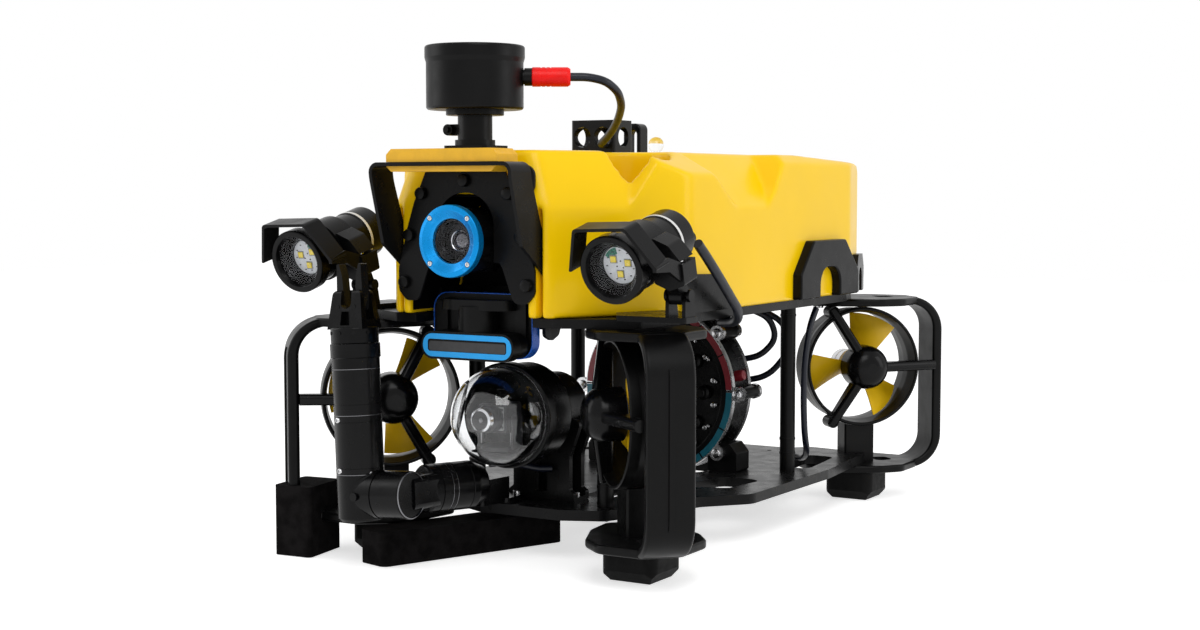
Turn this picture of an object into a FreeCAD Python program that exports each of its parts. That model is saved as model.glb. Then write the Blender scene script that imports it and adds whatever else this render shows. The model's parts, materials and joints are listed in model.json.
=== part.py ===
import FreeCAD, Part
import math
import os

# Underwater inspection ROV, in millimetres.
# Modelling frame: Z = 0 under the feet, X = 0 on the centre plane (+X is port), Y = 0 midway between
# the front and rear thrusters (-Y is the bow).  FRAME_SHIFT_Y then moves everything so that the
# part's own origin is the bottom centre of its whole box.

V = FreeCAD.Vector
AXIS_X = V(1, 0, 0)
AXIS_Y = V(0, 1, 0)
AXIS_Z = V(0, 0, 1)

# ---------------------------------------------------------------- driving dimensions
FRAME_SHIFT_Y = 20.6            # brings the box centre to Y = 0

# frame plates and feet
FOOT_SIZE = 66.0
FOOT_TOP = 38.0
ARM_THICK = 10.0                # guard arms under the skid plate and under the deck plate
SKID_Z = (FOOT_TOP + ARM_THICK, FOOT_TOP + ARM_THICK + 12.0)
DECK_Z = (270.0, 280.0)
POST_R = 9.5
POST_PLACES = ((155.0, 102.0), (87.0, -234.0))

# horizontal thrusters
THRUSTER_X = 164.0
THRUSTER_Y = 302.0
THRUSTER_Z = 178.0
NOZZLE_R = 77.5                 # outside
NOZZLE_BORE = 72.0
NOZZLE_HALF = 27.0              # half length
PROP_R = 70.0
PROP_HUB_R = 21.0
CAN_R = 18.0
SHAFT_R = 4.0
FIT = 0.05                      # radial clearance of a shaft in its hole
SPIDER_HUB_R = 29.0
SPIDER_TIP = 58.0
GUARD_OUT = 117.0               # outer face of the guard, from the thruster's axis
GUARD_THICK = 13.0
GUARD_BAND = (-32.0, 20.0)      # along the thruster's axis
GUARD_CORNER = 45.0

# vertical thrusters, in the float's tunnels
TUNNEL_X = 115.0
TUNNEL_Y = (-235.0, 130.0)
TUNNEL_R = 47.0
LIFT_PROP_R = 44.0
LIFT_PROP_Z = 352.0

# float
FLOAT_Z = (DECK_Z[1], 457.0)
FLOAT_WALL_TOP = 395.0
FLOAT_HALF = 190.0
FLOAT_BOW_Y = -378.0
FLOAT_CHEEK_Y = -228.0          # where the slanted bow corners end
FLOAT_STERN_Y = 302.0
BULGE_WALL_TOP = 432.0
STERN_DROP = 10.0               # how far the top slopes down at the stern

# cameras
DOME_CENTRE = V(0, -316, 165)
DOME_R = 54.5
DOME_WALL = 3.0
ZOOM_Z = 361.0
BUMPER_THICK = 4.0
BUMPER_HALF = 91.0
ZOOM_R = 35.0
ZOOM_PIVOT_Y = -345.0
ZOOM_FRONT = -401.0             # front of the camera body, behind its ring
PLATE_Y = (-381.0, -378.0)

# sonars
IMAGING_PIVOT = V(0, -318, 268)
MAST_Y = -361.0
SCAN_R = 53.5
SCAN_Z = (500.0, 568.0)

# lamps: local frame has its origin at the centre of the front ring
LAMP_X = 201.5
LAMP_Y = -418.0
LAMP_Z = 335.0
LAMP_TILT = 14.5                # nose down, degrees
LAMP_PIVOT = (38.0, -345.0, 308.0)   # X from the lamp's centre line, Y, Z
LAMP_LENGTH = 132.0

# electronics pod
POD_Y = (44.0, 98.0)
POD_Z = 160.0
POD_R = 98.0
POD_RING_R = 107.0

# manipulator
ARM_X = -112.0
ARM_Y = -420.0
ELBOW_Z = 86.0
FOREARM_R = 26.0
FOREARM_TOP = 250.0
ARM_LEAN = -4.0                 # roll of the whole arm about its base actuator, degrees
BASE_AXIS = V(math.sin(math.radians(25)), math.cos(math.radians(25)), 0)
BASE_END = V(-46, -322, ELBOW_Z)        # where the base actuator meets its end cap
WRIST_Z = (FOREARM_TOP + 0.4, 268.0)
JAW_PIVOT_Z = 290.0
JAW_PIVOT_X = 9.5


# ---------------------------------------------------------------- helpers
def box(x, y, z):
    """A block from its low and high corner, given as a pair per axis."""
    return Part.makeBox(x[1] - x[0], y[1] - y[0], z[1] - z[0], V(x[0], y[0], z[0]))


def cylinder(start, axis, radius, length):
    return Part.makeCylinder(radius, length, start, axis)


def ring(start, axis, outer, inner, length):
    return cylinder(start, axis, outer, length).cut(cylinder(start, axis, inner, length))


def corner_wire(points, radius, closed=True, reach_share=None):
    """A wire through the points whose corners are tangent arcs.  radius is one number or one per
    point.  With reach_share, each arc is as large as that share of its shorter run allows."""
    count = len(points)
    radii = radius if isinstance(radius, (list, tuple)) else [radius] * count
    ends = []
    for i, corner in enumerate(points):
        if not closed and i in (0, count - 1):
            ends.append((corner, corner, corner))
            continue
        back = points[i - 1] - corner
        ahead = points[(i + 1) % count] - corner
        half = back.getAngle(ahead) / 2
        size = radii[i]
        if reach_share:
            size = reach_share * min(back.Length, ahead.Length) * math.tan(half)
        if size <= 0 or half > math.pi / 2 - 1e-4:
            ends.append((corner, corner, corner))
            continue
        back.normalize()
        ahead.normalize()
        inward = (back + ahead).normalize()
        centre = corner + inward * (size / math.sin(half))
        reach = size / math.tan(half)
        ends.append((corner + back * reach, centre - inward * size, corner + ahead * reach))
    edges = []
    for i, (start, middle, end) in enumerate(ends):
        if start.distanceToPoint(end) > 1e-4:
            edges.append(Part.Arc(start, middle, end).toShape())
        if closed or i < count - 1:
            following = ends[(i + 1) % count][0]
            if end.distanceToPoint(following) > 1e-4:
                edges.append(Part.LineSegment(end, following).toShape())
    return Part.Wire(edges)


def slab(points, plane, low, high, radius=0.0):
    """A flat piece: points in the plane 'xy', 'xz' or 'yz', extruded along the third axis."""
    axis = {"xy": AXIS_Z, "xz": AXIS_Y, "yz": AXIS_X}[plane]
    place = {"xy": lambda a, b: V(a, b, low), "xz": lambda a, b: V(a, low, b),
             "yz": lambda a, b: V(low, a, b)}[plane]
    wire = corner_wire([place(a, b) for a, b in points], radius)
    return Part.Face(wire).extrude(axis * (high - low))


def turned(profile, start, axis, radius=0.0):
    """A solid of revolution: profile is a closed list of (radius, distance along the axis)."""
    wire = corner_wire([V(r, 0, a) for r, a in profile], radius)
    solid = Part.Face(wire).revolve(V(0, 0, 0), AXIS_Z, 360)
    solid.Placement = FreeCAD.Placement(start, FreeCAD.Rotation(AXIS_Z, axis))
    return solid


def cord(points, thickness):
    """A round cord along straight runs joined by arcs as large as the runs allow."""
    path = corner_wire(points, 0, closed=False, reach_share=0.45)
    first = points[1] - points[0]
    profile = Part.Wire(Part.makeCircle(thickness / 2, points[0], first))
    solid = path.makePipeShell([profile], True, False)
    drawn = solid.Volume / (math.pi * thickness ** 2 / 4)
    print("cord length", round(path.Length, 1), "by volume", round(drawn, 1))
    return solid


def fused(pieces):
    first = pieces[0]
    rest = pieces[1:]
    return first.multiFuse(rest).removeSplitter() if rest else first


def cut(shape, tools):
    for tool in tools:
        shape = shape.cut(tool)
    return shape


def soften(shape, radius, wanted):
    """Round the edges that the test picks out."""
    return shape.makeFillet(radius, [edge for edge in shape.Edges if wanted(edge)])


def group(shapes):
    return Part.makeCompound(shapes)


def mirrored(shape):
    """The same piece on the other side of the centre plane."""
    return shape.mirror(V(0, 0, 0), AXIS_X)


def both_sides(shape):
    return group([shape, mirrored(shape)])


def around(centre, axis, radius, count, first_deg=0.0):
    """Points on a circle about an axis that is parallel to Y or Z."""
    places = []
    for i in range(count):
        angle = math.radians(first_deg + 360.0 * i / count)
        across = radius * math.cos(angle)
        up = radius * math.sin(angle)
        places.append(centre + (V(across, 0, up) if axis == AXIS_Y else V(across, up, 0)))
    return places


def cap_screw(place, axis, head_r, head_h):
    """The head of a socket screw, standing on the face at place; the screw goes in along axis."""
    head = turned([(0, -head_h), (head_r, -head_h), (head_r, 0), (0, 0)], place, axis, [0, 0.5, 0, 0])
    return head.cut(cylinder(place - axis * head_h, axis, head_r * 0.5, head_h * 0.5))


# ---------------------------------------------------------------- corner units
def at_corner(shape, stern, port):
    """Move a piece from the unit frame (x outward, y along the thruster's axis towards its nose,
    origin on the axis at the propeller) to one corner.  The port side is the mirror image."""
    turn = 135 if stern else 225
    side = THRUSTER_Y if stern else -THRUSTER_Y
    moved = shape.copy()
    place = FreeCAD.Placement(V(-THRUSTER_X, side, 0), FreeCAD.Rotation(AXIS_Z, turn))
    moved.Placement = place.multiply(shape.Placement)
    return mirrored(moved) if port else moved


CORNERS = {"front_port": (False, True), "front_starboard": (False, False),
           "rear_port": (True, True), "rear_starboard": (True, False)}


def blade(tip_r, root_r, chord_root, chord_tip, pitch_root, pitch_tip, thickness, steps=4):
    """One propeller blade about the unit's Z axis: sections square to the radius, lofted."""
    sections = []
    for i in range(steps):
        share = i / (steps - 1)
        reach = root_r + (tip_r + 3 - root_r) * share
        half = (chord_root + (chord_tip - chord_root) * share) / 2
        pitch = math.radians(pitch_root + (pitch_tip - pitch_root) * share)
        along = V(0, math.cos(pitch), math.sin(pitch)) * half
        across = V(0, -math.sin(pitch), math.cos(pitch)) * (thickness / 2)
        middle = V(reach, 0, 0)
        upper = Part.BSplineCurve()
        upper.interpolate([middle - along - across * 0.2, middle + across, middle + along - across * 0.2])
        lower = Part.BSplineCurve()
        lower.interpolate([middle + along - across * 0.9, middle - across * 0.6,
                           middle - along - across * 0.9])
        lead = Part.LineSegment(middle + along - across * 0.2, middle + along - across * 0.9)
        trail = Part.LineSegment(middle - along - across * 0.9, middle - along - across * 0.2)
        sections.append(Part.Wire([upper.toShape(), lead.toShape(), lower.toShape(), trail.toShape()]))
    swept = Part.makeLoft(sections, True, False)
    return swept.common(cylinder(V(0, 0, -60), AXIS_Z, tip_r, 120))


def propeller(tip_r, hub_r, low, high, chord_root, chord_tip, thickness, phase_deg=30):
    """Three blades and a hub about Z; low and high are the hub's ends."""
    one = blade(tip_r, hub_r - 2.5, chord_root, chord_tip, 52, 24, thickness)
    blades = []
    for i in range(3):
        turned_blade = one.copy()
        turned_blade.rotate(V(0, 0, 0), AXIS_Z, 120 * i + phase_deg)
        blades.append(turned_blade)
    hub = turned([(0, low), (hub_r, low), (hub_r, high), (0, high)], V(0, 0, 0), AXIS_Z, [0, 2, 2, 0])
    return fused([hub] + blades)


PROP_PHASE = {"front_port": 30, "front_starboard": -10, "rear_port": 50, "rear_starboard": 30}


def corner_propeller(phase_deg):
    """Yellow propeller with its silver rotor can behind it and a stub shaft ahead of it."""
    body = propeller(PROP_R, PROP_HUB_R, -14, 13, 32, 70, 3.4, phase_deg)
    can = turned([(0, -52), (CAN_R, -52), (CAN_R, -13), (0, -13)], V(0, 0, 0), AXIS_Z, [0, 5, 0, 0])
    shaft = cylinder(V(0, 0, 2), AXIS_Z, SHAFT_R, 33)
    body = fused([body, can, shaft])
    body.Placement = FreeCAD.Placement(V(0, 0, THRUSTER_Z), FreeCAD.Rotation(AXIS_Z, AXIS_Y))
    return body


def spider():
    """Nose hub with three arms that lean back to the nozzle's rim and to the guard."""
    centre = V(0, 0, THRUSTER_Z)
    hub = turned([(0, 14.5), (SPIDER_HUB_R, 14.5), (SPIDER_HUB_R, SPIDER_TIP), (0, SPIDER_TIP)],
                 centre, AXIS_Y, [0, 1.5, 22, 0])
    arms = []
    for angle, reach in ((0, GUARD_OUT - GUARD_THICK), (120, 90.0), (240, 90.0)):
        side = [(20, 22), (20, 46), (reach, 29), (reach, 13)]
        arm = slab([(r, a) for r, a in side], "xy", -6.5, 6.5)
        arm = soften(arm, 5.0, lambda edge: abs(edge.tangentAt(edge.FirstParameter).x) > 0.8)
        arm.rotate(V(0, 0, 0), AXIS_Y, -angle)
        arm.translate(centre)
        arms.append(arm)
    lugs = []
    for sign in (1, -1):
        out = V(-0.5, 0, sign * math.sqrt(0.75))
        lugs.append(cylinder(centre + out * 85 + V(0, 6, 0), AXIS_Y, 8.0, 20))
    body = fused([hub] + arms + lugs)
    body = body.cut(cylinder(centre + V(0, 18.5, 0), AXIS_Y, 23.0, 27))
    return body.cut(cylinder(centre, AXIS_Y, SHAFT_R + FIT, 20))


def nose_motor():
    """The motor sealed in the spider's hub; the stub shaft runs in its bore."""
    centre = V(0, 0, THRUSTER_Z)
    body = cylinder(centre + V(0, 18.7, 0), AXIS_Y, 22.8, 26)
    return body.cut(cylinder(centre + V(0, 18, 0), AXIS_Y, SHAFT_R + FIT, 19))


def nozzle(spider_shape):
    """Ring round the propeller with a flared, rounded front lip, notched for the spider."""
    profile = [(NOZZLE_BORE, -6), (NOZZLE_BORE, 8), (75.5, NOZZLE_HALF), (79.5, NOZZLE_HALF),
               (80.0, 15), (NOZZLE_R, 4), (NOZZLE_R - 1, -NOZZLE_HALF), (73.5, -NOZZLE_HALF)]
    radii = [20, 20, 1.9, 1.9, 8, 20, 1.2, 1.2]
    body = turned(profile, V(0, 0, THRUSTER_Z), AXIS_Y, radii)
    return body.cut(spider_shape)


def saddle():
    """Pedestal that carries the nozzle on the guard's lower arm."""
    block = slab([(-21, -15), (21, -15), (21, 15), (-21, 15)], "xy", SKID_Z[0], THRUSTER_Z - 60, 3)
    return block.cut(cylinder(V(0, -40, THRUSTER_Z), AXIS_Y, NOZZLE_R + 3.0, 80))


def guard():
    """C-shaped corner guard: a broad band with a raised rib, and two arms that widen inward."""
    low = FOOT_TOP
    high = DECK_Z[0]
    inner_end = 58.0
    band_low, band_high = GUARD_BAND
    outer = [(inner_end, low), (GUARD_OUT, low), (GUARD_OUT, high), (inner_end, high)]
    inside = [(inner_end - 1, low + ARM_THICK), (GUARD_OUT - GUARD_THICK, low + ARM_THICK),
              (GUARD_OUT - GUARD_THICK, high - ARM_THICK), (inner_end - 1, high - ARM_THICK)]
    radii = [0, GUARD_CORNER, GUARD_CORNER, 0]
    inner_radii = [0, GUARD_CORNER - 12, GUARD_CORNER - 12, 0]
    band = slab(outer, "xz", band_low, band_high, radii)
    band = band.cut(slab(inside, "xz", band_low - 1, band_high + 1, inner_radii))
    at_rim = lambda edge: min(abs(edge.CenterOfMass.y - band_low),
                              abs(edge.CenterOfMass.y - band_high)) < 0.1
    band = soften(band, 4.0, lambda edge: at_rim(edge) and edge.CenterOfMass.x > inner_end + 1)
    rib_outer = [(inner_end + 30, low - 0), (GUARD_OUT + 2, low - 0), (GUARD_OUT + 2, high + 0),
                 (inner_end + 30, high + 0)]
    rib = slab(rib_outer, "xz", -9, -3, [0, GUARD_CORNER + 2, GUARD_CORNER + 2, 0])
    rib = rib.cut(slab(inside, "xz", -10, -2, inner_radii)).common(
        box((GUARD_OUT - 8, GUARD_OUT + 3), (-20, 20), (low + 34, high - 34)))
    middle = (band_low + band_high) / 2
    wing = [(inner_end + 26, band_high - 4), (46, middle + 60), (10, middle + 64), (-40, middle + 46),
            (-74, middle + 20), (-74, middle - 20), (-40, middle - 46), (10, middle - 64),
            (46, middle - 60), (inner_end + 26, band_low + 4)]
    wing_radii = [14, 22, 30, 30, 12, 12, 30, 30, 22, 14]
    pieces = [band, rib]
    for z in ((low, low + ARM_THICK), (high - ARM_THICK, high)):
        plate = slab(wing, "xy", z[0], z[1], wing_radii)
        plate = soften(plate, 3.0, lambda edge: abs(edge.tangentAt(edge.FirstParameter).z) < 0.5)
        window = slab([(28, middle - 17), (52, middle - 13), (52, middle + 13), (28, middle + 17)],
                      "xy", z[0] - 1, z[1] + 1, 8)
        pieces.append(plate.cut(window))
    return fused(pieces)


def foot():
    """Rubber foot with chamfered lower corners."""
    half = FOOT_SIZE / 2
    plan = [(-half, -half), (half, -half), (half, half), (-half, half)]
    block = slab(plan, "xy", 0, FOOT_TOP, 12)
    lower = [(-half + 9, 0), (half - 9, 0), (half, 12), (half, FOOT_TOP), (-half, FOOT_TOP), (-half, 12)]
    return block.common(slab(lower, "xz", -half, half)).common(slab(lower, "yz", -half, half))


# ---------------------------------------------------------------- frame
def mirror_outline(half_outline):
    """Close a port-side outline with its mirror image."""
    return half_outline + [(-x, y) for x, y in reversed(half_outline)]


def tunnel_cuts(low, high, radius):
    return [cylinder(V(side * TUNNEL_X, y, low), AXIS_Z, radius, high - low)
            for y in TUNNEL_Y for side in (1, -1)]


def deck_plate():
    half = [(70, -366), (104, -366), (182, -322), (186, -250), (186, 214), (160, 292), (60, 292)]
    plate = slab(mirror_outline(half), "xy", DECK_Z[0], DECK_Z[1], 8)
    windows = [slab([(-62, 0), (62, 0), (62, 34), (-62, 34)], "xy", DECK_Z[0] - 1, DECK_Z[1] + 1, 8)]
    windows[0].translate(V(0, -50, 0))
    rear = slab([(-46, 196), (46, 196), (46, 262), (-46, 262)], "xy", DECK_Z[0] - 1, DECK_Z[1] + 1, 10)
    sonar_gap = box((-76, 76), (-380, -286), (DECK_Z[0] - 1, DECK_Z[1] + 1))
    holes = [cylinder(V(x, y, DECK_Z[0] - 1), AXIS_Z, DECK_HOLE_R, 12) for x, y in DECK_HOLES]
    return cut(plate, tunnel_cuts(DECK_Z[0] - 1, DECK_Z[1] + 1, TUNNEL_R) + windows
               + [rear, sonar_gap] + holes)


DECK_HOLE_R = 3.3
DECK_HOLES = [(side * 40.0, y) for y in (20.0, 170.0) for side in (1, -1)]
SKID_HOLE_R = 3.3
SKID_HOLE_X = 60.0
SKID_HOLE_Y = (170.0, 250.0)


def skid_plate():
    """Lower plate: waisted at the bow, with lightening cut-outs, a well for the pod and bolt holes."""
    half = [(54, -278), (100, -257), (120, -209), (149, -124), (192, -74), (196, 138), (180, 300),
            (96, 310),
            (70, 286)]
    plate = slab(mirror_outline(half), "xy", SKID_Z[0], SKID_Z[1], [6, 16, 30, 40, 24, 60, 10, 14, 10] * 2)
    under = SKID_Z[0] - 1
    over = SKID_Z[1] + 1
    tools = [slab([(-66, 30), (66, 30), (66, 112), (-66, 112)], "xy", under, over, 14)]
    for side in (1, -1):
        tools.append(slab([(side * 92, -70), (side * 150, -52), (side * 160, 20), (side * 104, 20)],
                          "xy", under, over, 14))
        tools.append(slab([(side * 132, 130), (side * 172, 130), (side * 160, 240), (side * 118, 240)],
                          "xy", under, over, 14))
        tools.append(slab([(side * 26, -190), (side * 64, -180), (side * 64, -96), (side * 26, -96)],
                          "xy", under, over, 12))
        tools += [cylinder(V(side * SKID_HOLE_X, y, under), AXIS_Z, SKID_HOLE_R, 14) for y in SKID_HOLE_Y]
    return cut(plate, tools)


def frame_posts():
    posts = []
    for x, y in POST_PLACES:
        for side in (1, -1):
            post = cylinder(V(side * x, y, SKID_Z[1]), AXIS_Z, POST_R, DECK_Z[0] - SKID_Z[1])
            collars = [cylinder(V(side * x, y, SKID_Z[1] + up), AXIS_Z, POST_R + 0.6, 3) for up in (22,
                                                                                                    40,
                                                                                                    196)]
            posts.append(fused([post] + collars))
    return group(posts)


def frame_screws():
    """Socket screws through the plates into posts, arms and brackets."""
    screws = []
    for x, y in POST_PLACES:
        for side in (1, -1):
            screws.append(cap_screw(V(side * x, y, SKID_Z[0]), AXIS_Z, 5.5, 4.5))
    for side in (1, -1):
        for x, y in ((118, -272), (130, -258), (118, 272), (130, 258)):
            screws.append(cap_screw(V(side * x, y, DECK_Z[0] - ARM_THICK), AXIS_Z, 4.2, 3.2))
        screws.append(cap_screw(V(side * 37, -215, SKID_Z[1] + 5), AXIS_Z * -1, 4.2, 4.2))
    for x, y in ((-66, -244), (-25, -244)):
        screws.append(cap_screw(V(x, y, SKID_Z[1] + 6), AXIS_Z * -1, 4.8, 4.2))
    return group(screws)


# ---------------------------------------------------------------- float and lifting gear
def float_outline(inset_side, inset_bow, inset_stern):
    half = [(96 - inset_side * 0.4, FLOAT_BOW_Y + inset_bow),
            (FLOAT_HALF - inset_side, FLOAT_CHEEK_Y + inset_bow * 0.6),
            (FLOAT_HALF - inset_side, 215 - inset_stern * 0.4), (166 - inset_side,
                                                                 FLOAT_STERN_Y - inset_stern)]
    return mirror_outline(half)


def outline_wire(outline, radii, z):
    return corner_wire([V(x, y, z) for x, y in outline], radii)


def float_block():
    """Rigid foam float: straight walls, sloped shoulders, and full-height bulges over the tunnels."""
    corner = [26, 34, 40, 30]
    radii = corner + corner[::-1]
    walls = slab(float_outline(0, 0, 0), "xy", FLOAT_Z[0], FLOAT_WALL_TOP, radii)
    small = [18, 24, 30, 22]
    shoulder = Part.makeLoft([outline_wire(float_outline(0, 0, 0), radii, FLOAT_WALL_TOP),
                              outline_wire(float_outline(46, 9, 22), small + small[::-1],
                                           FLOAT_Z[1])], True, True)
    front = [(-300, 385), (-292, FLOAT_WALL_TOP), (-270, 432), (-255, FLOAT_Z[1]), (-178, FLOAT_Z[1]),
             (-168, 434), (-112, FLOAT_WALL_TOP), (-97, 385)]
    rear = [(-45, 385), (-35, FLOAT_WALL_TOP), (-10, 418), (8, 446), (16, FLOAT_Z[1]), (262, FLOAT_Z[1]),
            (FLOAT_STERN_Y, 430), (FLOAT_STERN_Y, 385)]
    plan = slab(float_outline(0, 0, 0), "xy", FLOAT_Z[0], FLOAT_Z[1], radii)
    bulges = []
    front_soft = [0, 6, 10, 14, 10, 14, 6, 0]
    rear_soft = [0, 4, 10, 6, 6, 24, 10, 0]
    for profile, softening, wall_top, inward in ((front, front_soft, BULGE_WALL_TOP, 40),
                                                 (rear, rear_soft, 446, 12)):
        across = [(-FLOAT_HALF, 385), (-FLOAT_HALF, wall_top), (-FLOAT_HALF + inward, FLOAT_Z[1]),
                  (FLOAT_HALF - inward, FLOAT_Z[1]), (FLOAT_HALF, wall_top), (FLOAT_HALF, 385)]
        section = slab(across, "xz", FLOAT_BOW_Y, FLOAT_STERN_Y, [0, 5, 5, 5, 5, 0])
        bulges.append(slab(profile, "yz", -FLOAT_HALF, FLOAT_HALF, softening).common(section).common(plan))
    body = fused([walls, shoulder] + bulges)
    stern_slope = slab([(70, FLOAT_Z[1]), (FLOAT_STERN_Y + 1, FLOAT_Z[1] - STERN_DROP),
                        (FLOAT_STERN_Y + 1, FLOAT_Z[1] + 5), (70, FLOAT_Z[1] + 5)], "yz", -200, 200)
    body = body.cut(stern_slope)
    half_bay = [(47, 410), (47, 352), (64, 343), (76, 300), (76, 270)]
    bay = slab(half_bay + [(-x, z) for x, z in reversed(half_bay)], "xz", FLOAT_BOW_Y - 1, -286,
               [14, 4, 10, 10, 0, 0, 10, 10, 4, 14])
    leg_notches = []
    for side in (1, -1):
        inner_face = side * (BUMPER_HALF - BUMPER_THICK - 0.6)
        outer_face = side * (BUMPER_HALF + 0.6)
        leg_notches.append(box((min(inner_face, outer_face), max(inner_face, outer_face)), (-390, -304),
                               (FLOAT_Z[0] - 1, 398)))
    rebates = [lamp_wing(LAMP_X, FLOAT_Z[0] - 1, FLOAT_Z[0] + 6.2),
               lamp_wing(-LAMP_X, FLOAT_Z[0] - 1, FLOAT_Z[0] + 6.2)]
    return cut(body, tunnel_cuts(FLOAT_Z[0] - 1, FLOAT_Z[1] + 1, TUNNEL_R)
               + [bay] + leg_notches + rebates)


def side_arches():
    """Black lifting-point arches bolted to the float's sides near its stern."""
    outer = [(39, 281), (39, 312), (76, 352), (175, 352), (217, 312), (217, 281)]
    arch = slab(outer, "yz", FLOAT_HALF, FLOAT_HALF + 12, [3, 8, 8, 8, 8, 3])
    gate = slab([(97, 276), (97, 318), (158, 318), (158, 276)], "yz", FLOAT_HALF - 1, FLOAT_HALF + 13,
                [0, 22, 22, 0])
    arch = soften(arch.cut(gate), 2.5, lambda edge: abs(edge.CenterOfMass.x - FLOAT_HALF - 12) < 0.1)
    small_outer = [(-34, 281), (-34, 312), (-20, 330), (20, 330), (34, 312), (34, 281)]
    small = slab(small_outer, "yz", 0, 8, [3, 6, 6, 6, 6, 3])
    small = small.cut(slab([(-14, 276), (-14, 312), (14, 312), (14, 276)], "yz", -1, 9, [0, 12, 12, 0]))
    side_run = V(FLOAT_HALF, 215, 0)
    stern_run = V(166, FLOAT_STERN_Y, 0)
    small.rotate(V(0, 0, 0), AXIS_Z, math.degrees(math.atan2(side_run.x - stern_run.x,
                                                             stern_run.y - side_run.y)))
    small.translate((side_run + stern_run) * 0.5 + V(0.3, 0, 0))
    return group([arch, mirrored(arch), small, mirrored(small)])


BUMPER_BACK = -392.0
BUMPER_FRONT = -429.0
BUMPER_TOP = 444.0


def nose_foam_bar():
    """Foam fender bar with chamfered ends, slotted for the bumper's top."""
    across = [(-70.5, 440), (-64, 434), (64, 434), (70.5, 440), (70.5, 452), (64, 458), (-64, 458),
              (-70.5, 452)]
    bar = slab(across, "xz", BUMPER_FRONT + 4, -385.5, 1.5)
    slot = box((-80, 80), (BUMPER_FRONT, BUMPER_BACK + 0.3),
               (BUMPER_TOP - BUMPER_THICK - 0.2, BUMPER_TOP + 0.2))
    return bar.cut(slot)


def front_bumper():
    """Bent flat bar: a top strap and two legs with a dog-leg back to the float."""
    strap_outer = [(-BUMPER_HALF, 300), (-BUMPER_HALF, BUMPER_TOP), (BUMPER_HALF, BUMPER_TOP),
                   (BUMPER_HALF, 300)]
    inner = BUMPER_HALF - BUMPER_THICK
    strap_inner = [(-inner, 299), (-inner, BUMPER_TOP - BUMPER_THICK), (inner, BUMPER_TOP - BUMPER_THICK),
                   (inner, 299)]
    bar = slab(strap_outer, "xz", BUMPER_FRONT, -306, [0, 11, 11, 0])
    bar = bar.cut(slab(strap_inner, "xz", BUMPER_FRONT - 1, -305, [0, 7, 7, 0]))
    side = [(BUMPER_FRONT, BUMPER_TOP + 2), (BUMPER_FRONT, 430), (-408, 357), (-346, 312), (-313, 312),
            (-313, 352), (-371, 374), (BUMPER_BACK, 430), (BUMPER_BACK, BUMPER_TOP + 2)]
    return bar.common(slab(side, "yz", -120, 120, [0, 60, 8, 10, 10, 10, 12, 60, 0]))


def camera_plate():
    """Black front plate with an arched camera opening, a cut-out for the sonar, and hinge ears."""
    front, back = PLATE_Y
    half = [(50, 437), (67, 401), (76, 374), (88, 330), (88, 306), (78, 295), (62, 295), (48, 332),
            (44, 338)]
    plate = slab(mirror_outline(half), "xz", front, back, [6, 10, 30, 20, 10, 10, 10, 8, 0] + [0, 8, 10,
                                                                                               10, 10,
                                                                                               20, 30,
                                                                                               10, 6])
    lobe = slab([(60, 441), (88, 441), (88, 412), (60, 404)], "xz", front, back, [0, 12, 12, 0])
    opening = [(-37, 322), (37, 322), (37, 412), (-37, 412)]
    plate = fused([plate, lobe]).cut(slab(opening, "xz", front - 1, back + 1, [14, 14, 36, 36]))
    ears = []
    for side in (1, -1):
        ear = slab([(back, 346), (-338, 346), (-333, 361), (-338, 376), (back, 376)], "yz",
                   side * 42 - 2, side * 42 + 2, [0, 6, 12, 6, 0])
        ears.append(ear.cut(cylinder(V(side * 42 - 3, ZOOM_PIVOT_Y, ZOOM_Z), AXIS_X, SHAFT_R + FIT, 6)))
        tongue = box((side * 42 - 2, side * 42 + 2), (back, back + 2), (346, 376))
        ears.append(tongue)
    return fused([plate] + ears)


def plate_knobs():
    """Round-headed plastic bolts that clamp the plate on the float."""
    knobs = []
    places = [(79, 315), (-79, 315), (72, 366), (-72, 366), (56, 411), (-56, 411), (0, 425)]
    for x, z in places:
        head = turned([(0, 0), (6.6, 0), (6.6, 5.5), (0, 5.5)], V(x, PLATE_Y[0], z), AXIS_Y * -1,
                      [0, 1.5, 1.5, 0])
        knobs.append(head)
    return group(knobs)


# ---------------------------------------------------------------- zoom camera
def zoom_camera():
    """Pressure housing with a stepped lens recess and trunnion pins."""
    centre = V(0, 0, ZOOM_Z)
    profile = [(0, ZOOM_FRONT), (ZOOM_R, ZOOM_FRONT), (ZOOM_R, -330), (ZOOM_R - 6, -306), (0, -306)]
    body = turned([(r, y) for r, y in profile], centre, AXIS_Y, [0, 0, 3, 8, 0])
    steps = [(0, -10.5), (23, -10.5), (22, -1.5), (17, 4.5), (17, 8.5), (13, 14.5), (0, 14.5)]
    recess = turned([(r, ZOOM_FRONT + back) for r, back in steps], centre, AXIS_Y)
    pins = [cylinder(V(side * (ZOOM_R - 3), ZOOM_PIVOT_Y, ZOOM_Z), AXIS_X * side, SHAFT_R,
                     12.5) for side in (1, -1)]
    return fused([body.cut(recess)] + pins)


def zoom_camera_ring():
    """Clamp ring with a dished inner face and four screw holes."""
    centre = V(0, 0, ZOOM_Z)
    section = [(24, 0), (38.5, 0), (38.5, 10), (33, 11), (24, 5)]
    body = turned([(r, ZOOM_FRONT - ahead) for r, ahead in section], centre, AXIS_Y, [0, 1, 1.5, 2, 0])
    holes = [cylinder(place + V(0, ZOOM_FRONT - 12.5, 0), AXIS_Y, 3.2, 6)
             for place in around(centre, AXIS_Y, 34, 4, 45)]
    return cut(body, holes)


def dome_window():
    centre = DOME_CENTRE
    shell = Part.makeSphere(DOME_R, centre).cut(Part.makeSphere(DOME_R - DOME_WALL, centre))
    shell = shell.common(box((-80, 80), (-400, centre.y + 10), (60, 260)))
    return shell


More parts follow.
